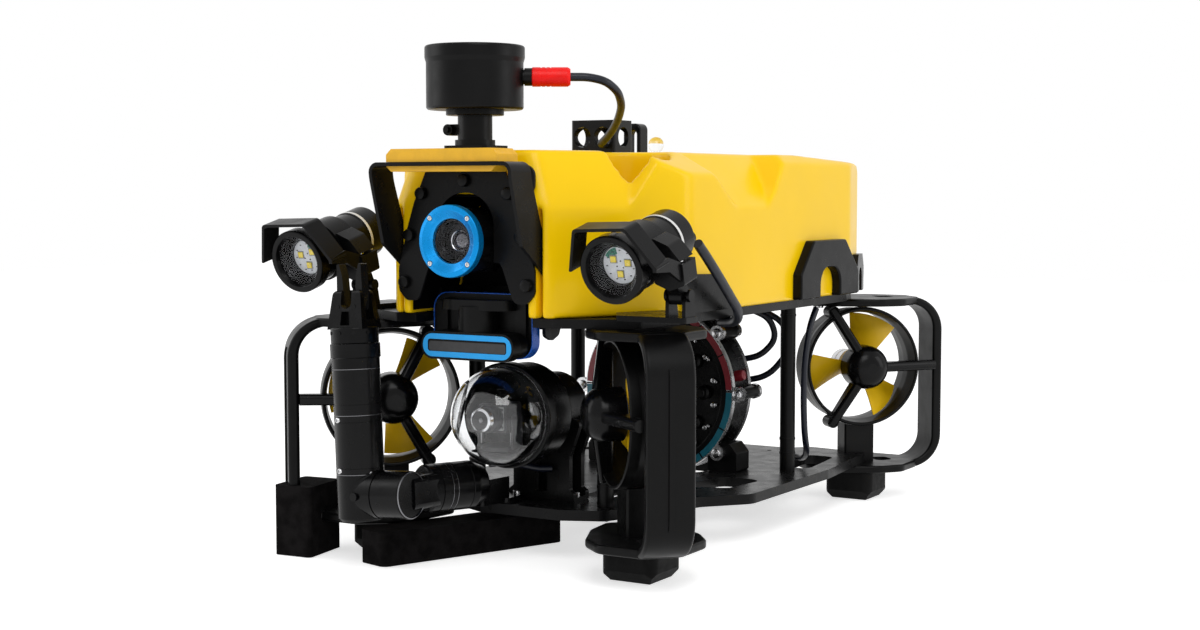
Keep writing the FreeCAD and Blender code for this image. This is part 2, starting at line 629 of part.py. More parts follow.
def dome_housing():
    """Turned housing behind the dome, with a wide rear flange and a narrower tail."""
    y = DOME_CENTRE.y + 10
    axis_at = V(0, 0, DOME_CENTRE.z)
    profile = [(49.5, y), (59, y), (59, y + 14), (56, y + 17), (56, y + 52), (44, y + 58), (40, y + 112),
               (0, y + 112), (0, y + 30), (49.5, y + 30)]
    body = turned(profile, axis_at, AXIS_Y, [0, 2, 2, 2, 5, 8, 3, 0, 0, 2])
    return body


def dome_stand():
    """Cradle with arched windows that stands on the skid plate."""
    top = DOME_CENTRE.z - 10
    plates = []
    for y in (-232.0, -206.0):
        outline = [(-44, SKID_Z[1]), (44, SKID_Z[1]), (44, 70), (38, 74), (38, 112), (54, top),
                   (-54, top), (-38, 112),
                   (-38, 74), (-44, 70)]
        plate = slab(outline, "xz", y, y + 7, [2, 2, 3, 3, 20, 6, 6, 20, 3, 3])
        window = slab([(-8, 70), (8, 70), (8, 104), (-8, 104)], "xz", y - 1, y + 8, [2, 2, 7.5, 7.5])
        plates.append(plate.cut(window))
    floor = slab([(-44, -232), (44, -232), (44, -199), (-44, -199)], "xy", SKID_Z[1], SKID_Z[1] + 5, 3)
    return fused(plates + [floor]).cut(dome_housing())


def gimbal_yoke():
    """Turntable with two ears, inside the dome; it pans on a post of the housing's bulkhead."""
    centre = DOME_CENTRE
    table = turned([(0, -36), (21, -36), (21, -31), (0, -31)], centre, AXIS_Z, [0, 1, 1, 0])
    ears = []
    for side in (1, -1):
        ear = slab([(-10, -32), (10, -32), (9, 6), (-9, 6)], "yz", side * 22 - 1.5, side * 22 + 1.5,
                   [0, 0, 8, 8])
        foot_bar = box((min(side * 14, side * 23.5), max(side * 14, side * 23.5)), (-9, 9), (-33, -31))
        piece = fused([ear, foot_bar])
        piece.translate(centre)
        ears.append(piece.cut(cylinder(centre + V(side * 22 - 3, 0, 0), AXIS_X, 2.5 + FIT, 6)))
    return fused([table] + ears)


def gimbal_camera():
    """Camera block with its lens, tilting on two pins in the yoke's ears."""
    centre = DOME_CENTRE
    block = slab([(-18, -16), (18, -16), (18, 16), (-18, 16)], "xz", -14, 16, 3)
    lens = turned([(0, -14), (15, -14), (15, -26), (12.5, -30), (12.5, -36), (10, -38), (0, -36)],
                  V(0, 0, 0), AXIS_Y,
                  [0, 0, 1, 1, 1, 1, 0])
    barrel = cylinder(V(0, -16, 0), AXIS_Y, 15, 4)
    pins = [cylinder(V(side * 17, 0, 0), AXIS_X * side, 2.5, 6.2) for side in (1, -1)]
    body = fused([block, barrel, lens] + pins)
    body.translate(centre)
    return body


def gimbal_base():
    """Lower board and post that carry the gimbal on the housing."""
    centre = DOME_CENTRE
    tray = box((-26, 26), (-18, 36), (-39.4, -37.2))
    tray.translate(centre)
    back = box((-30, 30), (36, 40), (-39.4, 26))
    back.translate(centre)
    return fused([tray, back]).cut(cylinder(centre + V(0, 0, -45), AXIS_Z, 3, 8))


# ---------------------------------------------------------------- sonars
def imaging_sonar():
    """Multibeam sonar head: a wide window bar in front of a taller, rounded body."""
    def frame_at(y, half_x, low, high, corner):
        points = [V(-half_x, y, low), V(half_x, y, low), V(half_x, y, high), V(-half_x, y, high)]
        return corner_wire(points, corner)
    bar = slab([(-60, 232.5), (60, 232.5), (60, 262.5), (-60, 262.5)], "xz", -379, -364, 14.5)
    chin = Part.makeLoft([frame_at(-364, 59, 233.5, 261.5, 13.5), frame_at(-348, 61, 236, 263, 13)], True,
                         True)
    column = cylinder(V(0, -356, 250), AXIS_Z, 22, 40)
    lid = slab([(-47, -348), (47, -348), (44, -366), (24, -374), (-24, -374), (-44, -366)], "xy", 286, 297,
               [0, 0, 14, 24, 24, 14])
    cheeks = [box((min(side * 44, side * 58), max(side * 44, side * 58)), (-352, -348),
                  (250, 294)) for side in (1, -1)]
    back = slab([(-64, 234), (64, 234), (64, 303), (-64, 303)], "xz", -348, -336, 18)
    rear = Part.makeLoft([frame_at(-336, 60, 237, 300, 16), frame_at(-306, 44, 246, 290, 12)], True, True)
    body = fused([bar, chin, column, lid, back, rear] + cheeks)
    slot = slab([(-50, 241), (50, 241), (50, 252), (-50, 252)], "xz", -380, -377, 3)
    pins = [cylinder(IMAGING_PIVOT + V(side * 48, 0, 0), AXIS_X * side, SHAFT_R, 22) for side in (1, -1)]
    return fused([body.cut(slot)] + pins)


def sonar_bracket():
    """Fork under the deck that holds the imaging sonar by its two pins."""
    ears = []
    for side in (1, -1):
        ear = slab([(-332, 258), (-318, 252), (-304, 258), (-290, 292), (-290, 308), (-332, 308)], "yz",
                   side * 68 - 2, side * 68 + 2, [6, 10, 6, 4, 4, 4])
        ears.append(ear.cut(cylinder(IMAGING_PIVOT + V(side * 68 - 3, 0, 0), AXIS_X, SHAFT_R + FIT, 6)))
    bridge = box((-70, 70), (-294, -290), (284, 308))
    return fused(ears + [bridge])


def scanning_sonar():
    """Round sonar head with a lip, on a short flange."""
    low, high = SCAN_Z
    start = V(0, MAST_Y, 0)
    body = turned([(0, low - 6), (31, low - 6), (31, low), (SCAN_R - 1.5, low), (SCAN_R - 1.5, low + 50),
                   (SCAN_R, low + 55), (SCAN_R, high), (0, high)], start, AXIS_Z, [0, 1, 0, 3, 3, 3, 3, 0])
    return body


def sonar_mast():
    """Mast tube with its foot plate and the hinged clamp that grips it."""
    top = SCAN_Z[0] - 6
    low = FLOAT_Z[1]
    plate = slab([(-28, MAST_Y - 21), (28, MAST_Y - 21), (28, MAST_Y + 24), (-28, MAST_Y + 24)], "xy",
                 low, low + 5, 5)
    neck = cylinder(V(0, MAST_Y, low + 5), AXIS_Z, 18.5, top - low - 5)
    collar = cylinder(V(0, MAST_Y, low + 5), AXIS_Z, 21.5, 6)
    clamp = box((-31, -15), (MAST_Y - 8, MAST_Y + 6), (low + 16, low + 28))
    wing = cylinder(V(-27, MAST_Y - 16, low + 22), AXIS_Y, 3.0, 10)
    nut = cylinder(V(-27, MAST_Y - 13, low + 22), AXIS_Y, 6.0, 5)
    return fused([plate, neck, collar, clamp, wing, nut])


PLUG_DIR = V(math.cos(math.radians(31)), math.sin(math.radians(31)), 0)
PLUG_Z = 535.0
PLUG_START = V(0, MAST_Y, PLUG_Z)


def sonar_plug():
    """Black connector nut on the head's side."""
    start = PLUG_START + PLUG_DIR * (SCAN_R - 4)
    stub = cylinder(start, PLUG_DIR, 8.0, 11)
    nut = cylinder(start + PLUG_DIR * 3.6, PLUG_DIR, 9.5, 8)
    return fused([stub, nut])


def plug_sleeve():
    """Red locking sleeve with grip grooves."""
    start = PLUG_START + PLUG_DIR * (SCAN_R + 7.6)
    body = turned([(0, 0), (10.4, 0), (10.4, 38), (8.5, 41), (0, 41)], start, PLUG_DIR, [0, 1, 2, 1, 0])
    grooves = [ring(start + PLUG_DIR * (9 + 5 * i), PLUG_DIR, 12, 9.9, 1.6) for i in range(3)]
    return cut(body, grooves)


SONAR_CABLE = [(104.0, -298.4, 535.0), (117.0, -284.0, 531.0), (120.0, -264.0, 521.0),
               (110.0, -238.0, 508.0),
               (90.0, -210.0, 495.0), (66.0, -182.0, 483.0), (42.0, -158.0, 473.0), (24.0, -140.0, 468.0),
               (18.0, -118.0, 468.0)]


def sonar_cable():
    start = PLUG_START + PLUG_DIR * (SCAN_R + 7.6 + 41)
    points = [start] + [V(*p) for p in SONAR_CABLE]
    return cord(points, 9.0)


def lift_latch():
    """Latch block with a window through each way and a steel core."""
    low = FLOAT_Z[1]
    body = slab([(-30, -118), (30, -118), (30, -74), (-30, -74)], "xy", low, low + 40, 4)
    tools = [cylinder(V(x, -119, low + 20), AXIS_Y, 12, 46) for x in (-14, 14)]
    tools.append(cylinder(V(-31, -96, low + 20), AXIS_X, 12, 62))
    return cut(body, tools)


def lift_handle():
    """Inverted-U handle behind the latch."""
    low = FLOAT_Z[1]
    outer = [(-12, low), (-12, low + 39), (12, low + 39), (12, low)]
    inner = [(-6.5, low - 1), (-6.5, low + 31), (6.5, low + 31), (6.5, low - 1)]
    bow = slab(outer, "xz", -24, -4, [0, 8, 8, 0]).cut(slab(inner, "xz", -25, -3, [0, 6, 6, 0]))
    return soften(bow,
                  2.0,
                  lambda edge: edge.CenterOfMass.z > low + 5 and abs(edge.tangentAt(edge.FirstParameter).y) < 0.5)


def strobe():
    """Clear ball of the flasher on its small base."""
    foot_at = V(0, 38, FLOAT_Z[1])
    base = cylinder(foot_at, AXIS_Z, 6.0, 6)
    ball = Part.makeSphere(10.0, foot_at + V(0, 0, 14))
    return fused([base, ball])


# ---------------------------------------------------------------- lamps
def place_lamp(shape, centre_x):
    """From the lamp's frame (y back along its axis, z up) to its place, nose down."""
    moved = shape.copy()
    moved.Placement = FreeCAD.Placement(V(centre_x, LAMP_Y, LAMP_Z), FreeCAD.Rotation(AXIS_X, LAMP_TILT))
    return moved


def to_lamp_frame(point):
    """A point of the vehicle (X from the lamp's centre line) in the lamp's frame."""
    turn = FreeCAD.Rotation(AXIS_X, -LAMP_TILT)
    return turn.multVec(V(point[0], point[1] - LAMP_Y, point[2] - LAMP_Z))


def lamp_housing():
    """Bezel ring, dished reflector, finned body and rear cap."""
    body = turned([(0, 24), (20.5, 24), (20.5, 16), (31.5, 16), (31.5, 36), (28.5, 40), (28.5, 96),
                   (29.5, 98), (29.5, 126), (24, LAMP_LENGTH),
                   (0, LAMP_LENGTH)], V(0, 0, 0), AXIS_Y, [0, 0, 0, 0, 2, 2, 0, 0, 3, 3, 0])
    bezel = turned([(29, 0), (35.5, 0), (35.5, 15), (32.5, 18), (20.5, 18), (20.5, 14), (26, 6)],
                   V(0, 0, 0), AXIS_Y,
                   [1, 2, 1, 1, 0, 0, 0])
    gland = cylinder(V(14, LAMP_LENGTH - 2, -6), AXIS_Y, 7.5, 14)
    return fused([body, bezel, gland])


def lamp_hood():
    """Bent plate hood, a side arm back to the clamp's pinch block, and the hinge lug below it."""
    outer = [(-45, 0), (-34.5, 44), (25.5, 45.5), (56.5, 4), (53.5, 1.8), (24, 42.2), (-31.8, 40.8),
             (-42, -0.6)]
    hood = slab(outer, "xz", -6, 20, [1, 5, 6, 1, 1, 4, 3, 1])
    side_arm = slab([(-6, 6), (20, 9), (46, -4), (46, -26), (20, -6), (-6, 1)], "yz", 51.5, 55.5,
                    [1, 4, 2, 2, 6, 1])
    block = slab([(26, 22), (44, 14), (58, -5), (58, -27), (40, -33), (24, -26)], "xz", 42.5, 70.5,
                 [2, 6, 3, 3, 5, 2])
    gap = slab([(44, -2), (60, -2), (60, -5), (44, -5)], "xz", 41, 72)
    band = ring(V(0, 40.5, 0), AXIS_Y, 33.5, 28.7, 30)
    pivot = to_lamp_frame(LAMP_PIVOT)
    lug = cylinder(V(pivot.x - 7, pivot.y, pivot.z), AXIS_X, 9.5, 14)
    web = slab([(46.0, -22.0), (68.0, -22.0), (pivot.y + 9, pivot.z + 3), (pivot.y - 9, pivot.z + 3)], "yz",
               pivot.x - 7, pivot.x + 7)
    whole = fused([hood, side_arm, block.cut(gap), band, lug, web])
    bore = cylinder(V(pivot.x - 12, pivot.y, pivot.z), AXIS_X, SHAFT_R + FIT, 24)
    return cut(whole, [bore, cylinder(V(0, 39, 0), AXIS_Y, 28.7, 60)])


def lamp_wing(centre_x, low, high):
    """Outline of the deck wing that carries one lamp."""
    pivot_x = LAMP_PIVOT[0] + centre_x
    if centre_x > 0:
        outline = [(172, -356), (pivot_x + 13, -356), (pivot_x + 13, -330), (196, -262), (176, -262),
                   (150, -318)]
    else:
        outline = [(-192, -330), (-178, -356), (pivot_x + 13, -356), (pivot_x + 13, -326), (-148, -300),
                   (-176, -262),
                   (-192, -262)]
    return slab(outline, "xy", low, high, 3)


def lamp_bracket(centre_x):
    """Deck wing with a fork and pin at the lamp's hinge."""
    px, py, pz = LAMP_PIVOT
    px = px + centre_x
    ears = []
    for side in (1, -1):
        x = px + side * 9.6
        ears.append(slab([(py - 8, 281), (py - 8, pz), (py + 8, pz), (py + 14, 281)], "yz", x - 2, x + 2,
                         [0, 7.5, 7.5, 0]))
    pin = cylinder(V(px - 12.5, py, pz), AXIS_X, SHAFT_R, 25)
    heads = [cylinder(V(px - 14.5, py, pz), AXIS_X, 6.5, 3), cylinder(V(px + 11.5, py, pz), AXIS_X, 6.5, 3)]
    return fused(ears + [pin] + heads + [lamp_wing(centre_x, DECK_Z[1], DECK_Z[1] + 6)])


def side_flanges():
    """Angle strips along the float's lower edge, either side, behind the lamps."""
    strip = slab([(-240, 281), (-125, 281), (-125, 294), (-155, 307), (-155, 321), (-240, 324)], "yz",
                 FLOAT_HALF, FLOAT_HALF + 4, [2, 2, 2, 2, 3, 3])
    return strip


# ---------------------------------------------------------------- electronics pod
LUG_ANGLES = (0.0, 42.0, 138.0, 180.0, 222.0, 318.0)


def pod_lug_places(y, radius):
    return [V(radius * math.cos(math.radians(a)), y,
              POD_Z + radius * math.sin(math.radians(a))) for a in LUG_ANGLES]


def pod_drum():
    """Black pressure drum with a dished face and a domed back."""
    front, back = POD_Y
    profile = [(0, front + 3), (90, front + 3), (90, front), (POD_R, front), (POD_R, back),
               (86, back + 12), (0, back + 16)]
    body = turned(profile, V(0, 0, POD_Z), AXIS_Y, [0, 0, 1, 1, 3, 10, 0])
    return body


def pod_clamp_rings():
    """Two silver clamp rings with screw lugs, front and rear."""
    rings = []
    for y in (POD_Y[0], POD_Y[1] - 9):
        body = ring(V(0, y, POD_Z), AXIS_Y, POD_RING_R, POD_R + 0.05, 7)
        ears = [cylinder(place, AXIS_Y, 9.5, 7) for place in pod_lug_places(y, POD_RING_R + 6)]
        body = fused([body] + ears).cut(cylinder(V(0, y - 1, POD_Z), AXIS_Y, POD_R + 0.05, 9))
        rings.append(body)
    return group(rings)


def pod_tie_rods():
    """Black spacers between the clamp rings, with a silver screw in each front lug."""
    rods = []
    for place in pod_lug_places(POD_Y[0] + 7.0, POD_RING_R + 6):
        rods.append(cylinder(place, AXIS_Y, 8.0, POD_Y[1] - 9 - POD_Y[0] - 7))
    return group(rods)


def pod_screws():
    screws = []
    for place in pod_lug_places(POD_Y[0], POD_RING_R + 6):
        screws.append(turned([(0, 0), (6, 0), (6, 3), (0, 4)], place, AXIS_Y * -1, [0, 0, 1.5, 0]))
    for place in around(V(0, POD_Y[0] + 3, POD_Z), AXIS_Y, 80, 16, 11.25):
        screws.append(turned([(0, 0), (3.4, 0), (3.4, 2.6), (0, 3)], place, AXIS_Y * -1, [0, 0, 1, 0]))
    return group(screws)


def pod_connectors():
    """Round bulkhead connectors on the front face, in two rings."""
    pieces = []
    for radius, count, first, size in ((66, 10, 0, 9.0), (40, 6, 30, 9.0)):
        for place in around(V(0, POD_Y[0] + 3, POD_Z), AXIS_Y, radius, count, first):
            plug = turned([(0, 0), (size, 0), (size, 6), (size - 2.5, 8), (size - 2.5, 15), (0, 15)],
                          place, AXIS_Y * -1,
                          [0, 0, 1, 0, 2, 0])
            pieces.append(plug)
    return group(pieces)


def pod_saddles():
    """Blocks that seat the pod on the skid plate."""
    pieces = []
    for side in (1, -1):
        block = slab([(side * 68, 60), (side * 108, 60), (side * 108, 84), (side * 98, 96),
                      (side * 68, 96)], "xz",
                     POD_Y[0] + 8, POD_Y[1] - 10, 3)
        block = cut(block, [cylinder(V(0, 0, POD_Z), AXIS_Y, POD_R + 0.1, 200)])
        for place in pod_lug_places(0, POD_RING_R + 6):
            block = block.cut(cylinder(place, AXIS_Y, 8.2, 120))
        pieces.append(block)
    return group(pieces)


# ---------------------------------------------------------------- manipulator
def arm_base():
    """End cap of the base actuator and its bracket on the skid plate's corner."""
    cap = turned([(0, 0), (27, 0), (27, 8), (20, 24), (0, 26)], BASE_END, BASE_AXIS, [0, 1, 4, 4, 0])
    foot_plate = slab([(-68, -274), (-18, -274), (-18, -236), (-74, -236)], "xy", SKID_Z[1],
                      SKID_Z[1] + 6, 4)
    upright = slab([(-64, -300), (-28, -310), (-22, -262), (-54, -256)], "xy", SKID_Z[1] + 1, ELBOW_Z + 4,
                   4)
    body = fused([cap, foot_plate, upright])
    return body.cut(cylinder(BASE_END - BASE_AXIS * 2, BASE_AXIS, 6 + FIT, 12))


def leaned(shape):
    """Roll a piece of the arm about the base actuator's axis."""
    moved = shape.copy()
    moved.rotate(BASE_END, BASE_AXIS, ARM_LEAN)
    return moved


def arm_shoulder():
    """Ringed base actuator that turns on the end cap, with the elbow actuator across its front."""
    length = 50.0
    start = BASE_END - BASE_AXIS * (length + 0.3)
    barrel = turned([(0, 0), (25, 0), (27, 3), (27, length), (0, length)], start, BASE_AXIS,
                    [0, 2, 2, 0.8, 0])
    grooves = [ring(start + BASE_AXIS * a, BASE_AXIS, 29, 26.0, 1.2) for a in (12, 24, 30)]
    stub = cylinder(BASE_END - BASE_AXIS * 2, BASE_AXIS, 6, 11)
    neck = soften(box((-79, -42), (ARM_Y + 4, -366), (ELBOW_Z - 19, ELBOW_Z + 19)), 8,
                  lambda edge: abs(edge.tangentAt(edge.FirstParameter).y) > 0.5)
    tube = turned([(0, 0), (26, 0), (26, 36), (24.5, 37.5), (24, 36.5), (0, 36.5)],
                  V(-81, ARM_Y, ELBOW_Z), AXIS_X,
                  [0, 1, 1, 0.3, 0, 0])
    body = fused([cut(barrel, grooves), stub, neck, tube])
    return leaned(body.cut(cylinder(V(-82, ARM_Y, ELBOW_Z), AXIS_X, 8 + FIT, 14)))


def arm_forearm():
    """Forearm tube with seams, carried by a fork that turns on the elbow actuator."""
    low = ELBOW_Z - 28
    start = V(ARM_X, ARM_Y, 0)
    tube = turned([(0, low), (FOREARM_R - 2, low), (FOREARM_R, low + 3), (FOREARM_R, FOREARM_TOP - 16),
                   (FOREARM_R + 1.2, FOREARM_TOP - 15), (FOREARM_R + 1.2, FOREARM_TOP), (0,
                                                                                         FOREARM_TOP)],
                                                                                         start, AXIS_Z,
                  [0, 1, 1, 0, 0, 0.5, 0])
    grooves = [ring(V(ARM_X, ARM_Y, z), AXIS_Z, FOREARM_R + 2, FOREARM_R - 0.8, 1.0) for z in
               (108, 115, 165, 172, 184, 222)]
    fork = turned([(0, 0), (26, 0), (26, 5), (0, 5)], V(-86.3, ARM_Y, ELBOW_Z), AXIS_X, [0, 0, 1, 0])
    stub = cylinder(V(-82, ARM_Y, ELBOW_Z), AXIS_X, 8, 12)
    cheek = slab([(-114, ELBOW_Z), (-104, ELBOW_Z + 12), (-86.3, ELBOW_Z + 25), (-81.3, ELBOW_Z + 26),
                  (-81.3, ELBOW_Z - 26), (-86.3, ELBOW_Z - 25), (-104,
                                                                 ELBOW_Z - 12)], "xz", ARM_Y - 31,
                                                                 ARM_Y + 31,
                 [4, 8, 0, 0, 0, 0, 8])
    shell = turned([(0, 0), (26.6, 0), (26.6, 34), (0, 34)], V(-115.3, ARM_Y, ELBOW_Z), AXIS_X)
    lens = cylinder(start, AXIS_Z, 28.2, 200)
    cheek = cheek.common(lens.fuse(shell)).common(box((-120, -81.3), (ARM_Y - 29, ARM_Y + 29), (40, 140)))
    screws = [cylinder(V(-100, ARM_Y + side * 25.0, ELBOW_Z), AXIS_Y * side, 4.6, 4.5) for side in (1, -1)]
    return leaned(fused([cut(tube, grooves), fork, stub, cheek] + screws))


def arm_wrist():
    """Wrist collar and tapered gripper body with a U-shaped mouth and a window."""
    start = V(ARM_X, ARM_Y, 0)
    low, high = WRIST_Z
    collar = turned([(0, low), (FOREARM_R, low), (FOREARM_R, high), (0, high)], start, AXIS_Z,
                    [0, 0.5, 2, 0])
    shell = slab([(-24, high - 2), (24, high - 2), (18.5, JAW_PIVOT_Z + 18), (-18.5, JAW_PIVOT_Z + 18)],
                 "xz", -17, 17,
                 [0, 0, 6, 6])
    side = slab([(-17, high - 2), (17, high - 2), (11, JAW_PIVOT_Z + 18), (-11, JAW_PIVOT_Z + 18)], "yz",
                -26, 26, [0, 0, 4, 4])
    mouth = slab([(-7, JAW_PIVOT_Z - 2), (7, JAW_PIVOT_Z - 2), (7, 330), (-7, 330)], "xz", -18, 18,
                 [6.5, 6.5, 0, 0])
    window = slab([(-6.5, high + 2), (6.5, high + 2), (5.5, JAW_PIVOT_Z - 5), (-5.5, JAW_PIVOT_Z - 5)],
                  "xz", -18, -8, 1)
    slots = box((-30, 30), (-6.4, 6.4), (high + 8, 330))
    shell = cut(shell.common(side), [mouth, window, slots])
    shell.translate(start)
    pins = []
    for place in (1, -1):
        pins.append(cylinder(V(ARM_X + place * (JAW_PIVOT_X + 1.5), ARM_Y - 14, JAW_PIVOT_Z), AXIS_Y, 2.5,
                             28))
    screws = []
    for place in around(V(ARM_X, ARM_Y, high - 6), AXIS_Z, FOREARM_R - 1, 10, 18):
        out = (place - V(ARM_X, ARM_Y, high - 6)).normalize()
        screws.append(cylinder(place, out, 2.0, 1.8))
    return leaned(fused([collar, shell] + pins + screws))


def arm_jaw(side):
    """One curved, pointed jaw with its pivot boss; side is +1 for the inboard jaw."""
    px = JAW_PIVOT_X + 1.5
    outline = [(px - 4.0, -5), (px + 5, -5), (px + 6.5, 12), (px + 6, 28), (px + 5.5, 46), (px + 2.5, 47),
               (px - 1.5, 34), (px - 3.0, 12)]
    body = slab([(ARM_X + side * x, JAW_PIVOT_Z + z) for x, z in outline], "xz", ARM_Y - 6, ARM_Y + 6,
                [4, 4, 20, 30, 1, 1, 30, 8])
    body = body.cut(cylinder(V(ARM_X + side * px, ARM_Y - 10, JAW_PIVOT_Z), AXIS_Y, 2.5 + FIT, 20))
    return leaned(body)


def arm_rest_blocks():
    """Two foam blocks on the floor by the arm; the tall one is cut to fit round the guard."""
    outer = slab([(-252, -402), (-203, -398), (-214, -330), (-262, -336)], "xy", 0, 80, 5)
    around_guard = at_corner(guard(), False, False)
    for shift in ((0, 0, -0.4), (0.4, 0.4, 0), (-0.4, -0.4, 0), (0.4, -0.4, 0), (-0.4, 0.4, 0)):
        moved = around_guard.copy()
        moved.translate(V(*shift))
        outer = outer.cut(moved)
    kept = max(outer.Solids, key=lambda solid: solid.Volume)
    inner = slab([(-146, -384), (-101, -396), (-7, -172), (-54, -153)], "xy", 0, FOOT_TOP - 0.5, 10)
    return group([kept, inner])


# ---------------------------------------------------------------- cables
LAMP_CABLE = [(216.0, -260.0, 358.0), (216.0, -238.0, 342.0), (214.0, -206.0, 320.0),
              (210.0, -172.0, 298.0),
              (206.0, -140.0, 278.0), (190.0, -114.0, 264.0), (162.0, -98.0, 262.0)]
POD_CABLE_A = [(62.0, 60.0, 264.0), (96.0, 110.0, 264.0), (118.0, 128.0, 250.0), (124.0, 134.0, 224.0),
               (106.0, 126.0, 202.0),
               (80.0, 122.0, 196.0)]
POD_CABLE_B = [(60.0, 100.0, 264.0), (104.0, 124.0, 263.0), (136.0, 136.0, 244.0), (140.0, 138.0, 208.0),
               (116.0, 128.0, 176.0),
               (80.0, 122.0, 168.0)]
POST_CABLE = [(176.0, 140.0, 264.0), (176.0, 122.0, 244.0), (175.0, 108.0, 200.0), (175.0, 106.0, 150.0),
              (174.0, 112.0, 108.0),
              (168.0, 134.0, 80.0), (150.0, 160.0, 68.0), (128.0, 176.0, 68.0)]
ARM_CABLE = [(-34.0, -286.0, 106.0), (-26.0, -268.0, 106.0), (-12.0, -252.0, 102.0), (6.0, -244.0, 98.0),
             (18.0, -236.5, 98.0)]
BOW_CABLE = [(122.0, -250.0, 66.0), (108.0, -226.0, 66.0), (106.0, -204.0, 74.0), (106.0, -186.0, 92.0),
             (112.0, -172.0, 108.0), (124.0, -162.0, 114.0)]


def route(points):
    return [V(*p) for p in points]


def write_parts(parts):
    os.makedirs("parts", exist_ok=True)
    whole = group(list(parts.values())).BoundBox
    for name, shape in parts.items():
        placed = shape.copy()
        placed.translate(V(0, FRAME_SHIFT_Y, 0))
        placed.exportStep("parts/" + name + ".step")
        if not shape.isValid():
            print("not valid:", name)
    print(len(parts), "nodes; box X", round(whole.XMin, 1), round(whole.XMax, 1), "Y",
          round(whole.YMin + FRAME_SHIFT_Y, 1),
          round(whole.YMax + FRAME_SHIFT_Y, 1), "Z", round(whole.ZMin, 1), round(whole.ZMax, 1))


def vertical_motor():
    """Motor with three arms, in a float tunnel (unit frame: axis Z)."""
    body = turned([(0, -36), (15, -36), (17, -30), (17, -12.5), (0, -12.5)], V(0, 0, 0), AXIS_Z,
                  [0, 3, 3, 1, 0])
    arms = []
    for i in range(3):
        arm = box((12, TUNNEL_R), (-3, 3), (-29, -17))
        arm.rotate(V(0, 0, 0), AXIS_Z, 120 * i + 90)
        arms.append(arm)
    body = fused([body] + arms).common(cylinder(V(0, 0, -40), AXIS_Z, TUNNEL_R, 80))
    return body.cut(cylinder(V(0, 0, -30), AXIS_Z, 3 + FIT, 30))


def vertical_propeller():
    body = propeller(LIFT_PROP_R, 13, -9, 9, 20, 38, 2.6)
    return fused([body, cylinder(V(0, 0, -28), AXIS_Z, 3, 24)])


def vertical_places():
    names = {}
    for y, bow in zip(TUNNEL_Y, ("front", "rear")):
        for side, board in ((1, "port"), (-1, "starboard")):
            names[bow + "_" + board] = (side, y)
    return names


def at_tunnel(shape, side, y):
    moved = shape.copy()
    moved.translate(V(-TUNNEL_X, y, LIFT_PROP_Z))
    return mirrored(moved) if side > 0 else moved


def build():
    parts = {}
    parts["float_block"] = float_block()
    parts["nose_foam_bar"] = nose_foam_bar()
    parts["side_arches"] = side_arches()
    parts["deck_plate"] = deck_plate()
    parts["skid_plate"] = skid_plate()

    spiders = []
    motors = []
    saddles = []
    feet = []
    for name, (stern, port) in CORNERS.items():
        parts[name + "_guard"] = at_corner(guard(), stern, port)
        parts[name + "_nozzle"] = at_corner(nozzle(spider()), stern, port)
        parts[name + "_propeller"] = at_corner(corner_propeller(PROP_PHASE[name]), stern, port)
        spiders.append(at_corner(spider(), stern, port))
        motors.append(at_corner(nose_motor(), stern, port))
        saddles.append(at_corner(saddle(), stern, port))
        one = foot()
        one.translate(V((1 if port else -1) * 168, (1 if stern else -1) * 296, 0))
        feet.append(one)
    parts["thruster_spiders"] = group(spiders)
    seated = [one.cut(parts["skid_plate"]) for one in saddles]
    parts["posts_and_saddles"] = group([frame_posts()] + seated)
    parts["rubber_feet"] = group(feet)

    for name, (side, y) in vertical_places().items():
        motors.append(at_tunnel(vertical_motor(), side, y))
        parts[name + "_lift_propeller"] = at_tunnel(vertical_propeller(), side, y)
    parts["thruster_motors"] = group(motors)

    parts["pod_drum"] = pod_drum()
    parts["pod_clamp_rings"] = pod_clamp_rings()
    parts["pod_connectors"] = pod_connectors()
    parts["pod_supports"] = group([pod_tie_rods(), pod_saddles()])
    parts["dome_window"] = dome_window()
    parts["dome_housing"] = fused([dome_housing(), gimbal_base()])
    parts["dome_stand"] = dome_stand()
    parts["gimbal_yoke"] = gimbal_yoke()
    parts["gimbal_camera"] = gimbal_camera()
    parts["camera_plate"] = camera_plate()
    parts["fasteners"] = group([plate_knobs(), frame_screws(), pod_screws()])
    parts["front_bumper"] = front_bumper()
    parts["zoom_camera"] = zoom_camera()
    parts["zoom_camera_ring"] = zoom_camera_ring()

    for name, x in (("port", LAMP_X), ("starboard", -LAMP_X)):
        parts[name + "_lamp"] = place_lamp(lamp_housing(), x)
        parts[name + "_lamp_hood"] = place_lamp(lamp_hood(), x)
    parts["deck_brackets"] = group([lamp_bracket(LAMP_X), lamp_bracket(-LAMP_X), sonar_bracket(),
                                    both_sides(side_flanges())])
    parts["imaging_sonar"] = imaging_sonar()
    parts["scanning_sonar"] = fused([scanning_sonar(), sonar_plug()])
    parts["sonar_mast"] = sonar_mast()
    parts["plug_sleeve"] = plug_sleeve()
    parts["sonar_cable"] = sonar_cable()
    parts["lift_latch"] = lift_latch()
    parts["lift_handle"] = lift_handle()
    parts["strobe"] = strobe()

    parts["arm_base"] = arm_base()
    parts["arm_shoulder"] = arm_shoulder()
    parts["arm_forearm"] = arm_forearm()
    parts["arm_wrist"] = arm_wrist()
    parts["arm_jaw_inboard"] = arm_jaw(1)
    parts["arm_jaw_outboard"] = arm_jaw(-1)
    parts["arm_rest_blocks"] = arm_rest_blocks()
    parts["loom_cables"] = group([cord(route(points), 11.0 if points is LAMP_CABLE else 8.0) for points in
                                  (LAMP_CABLE, POD_CABLE_A, POD_CABLE_B, POST_CABLE, ARM_CABLE, BOW_CABLE)])
    return parts


write_parts(build())
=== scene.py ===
import json
import math

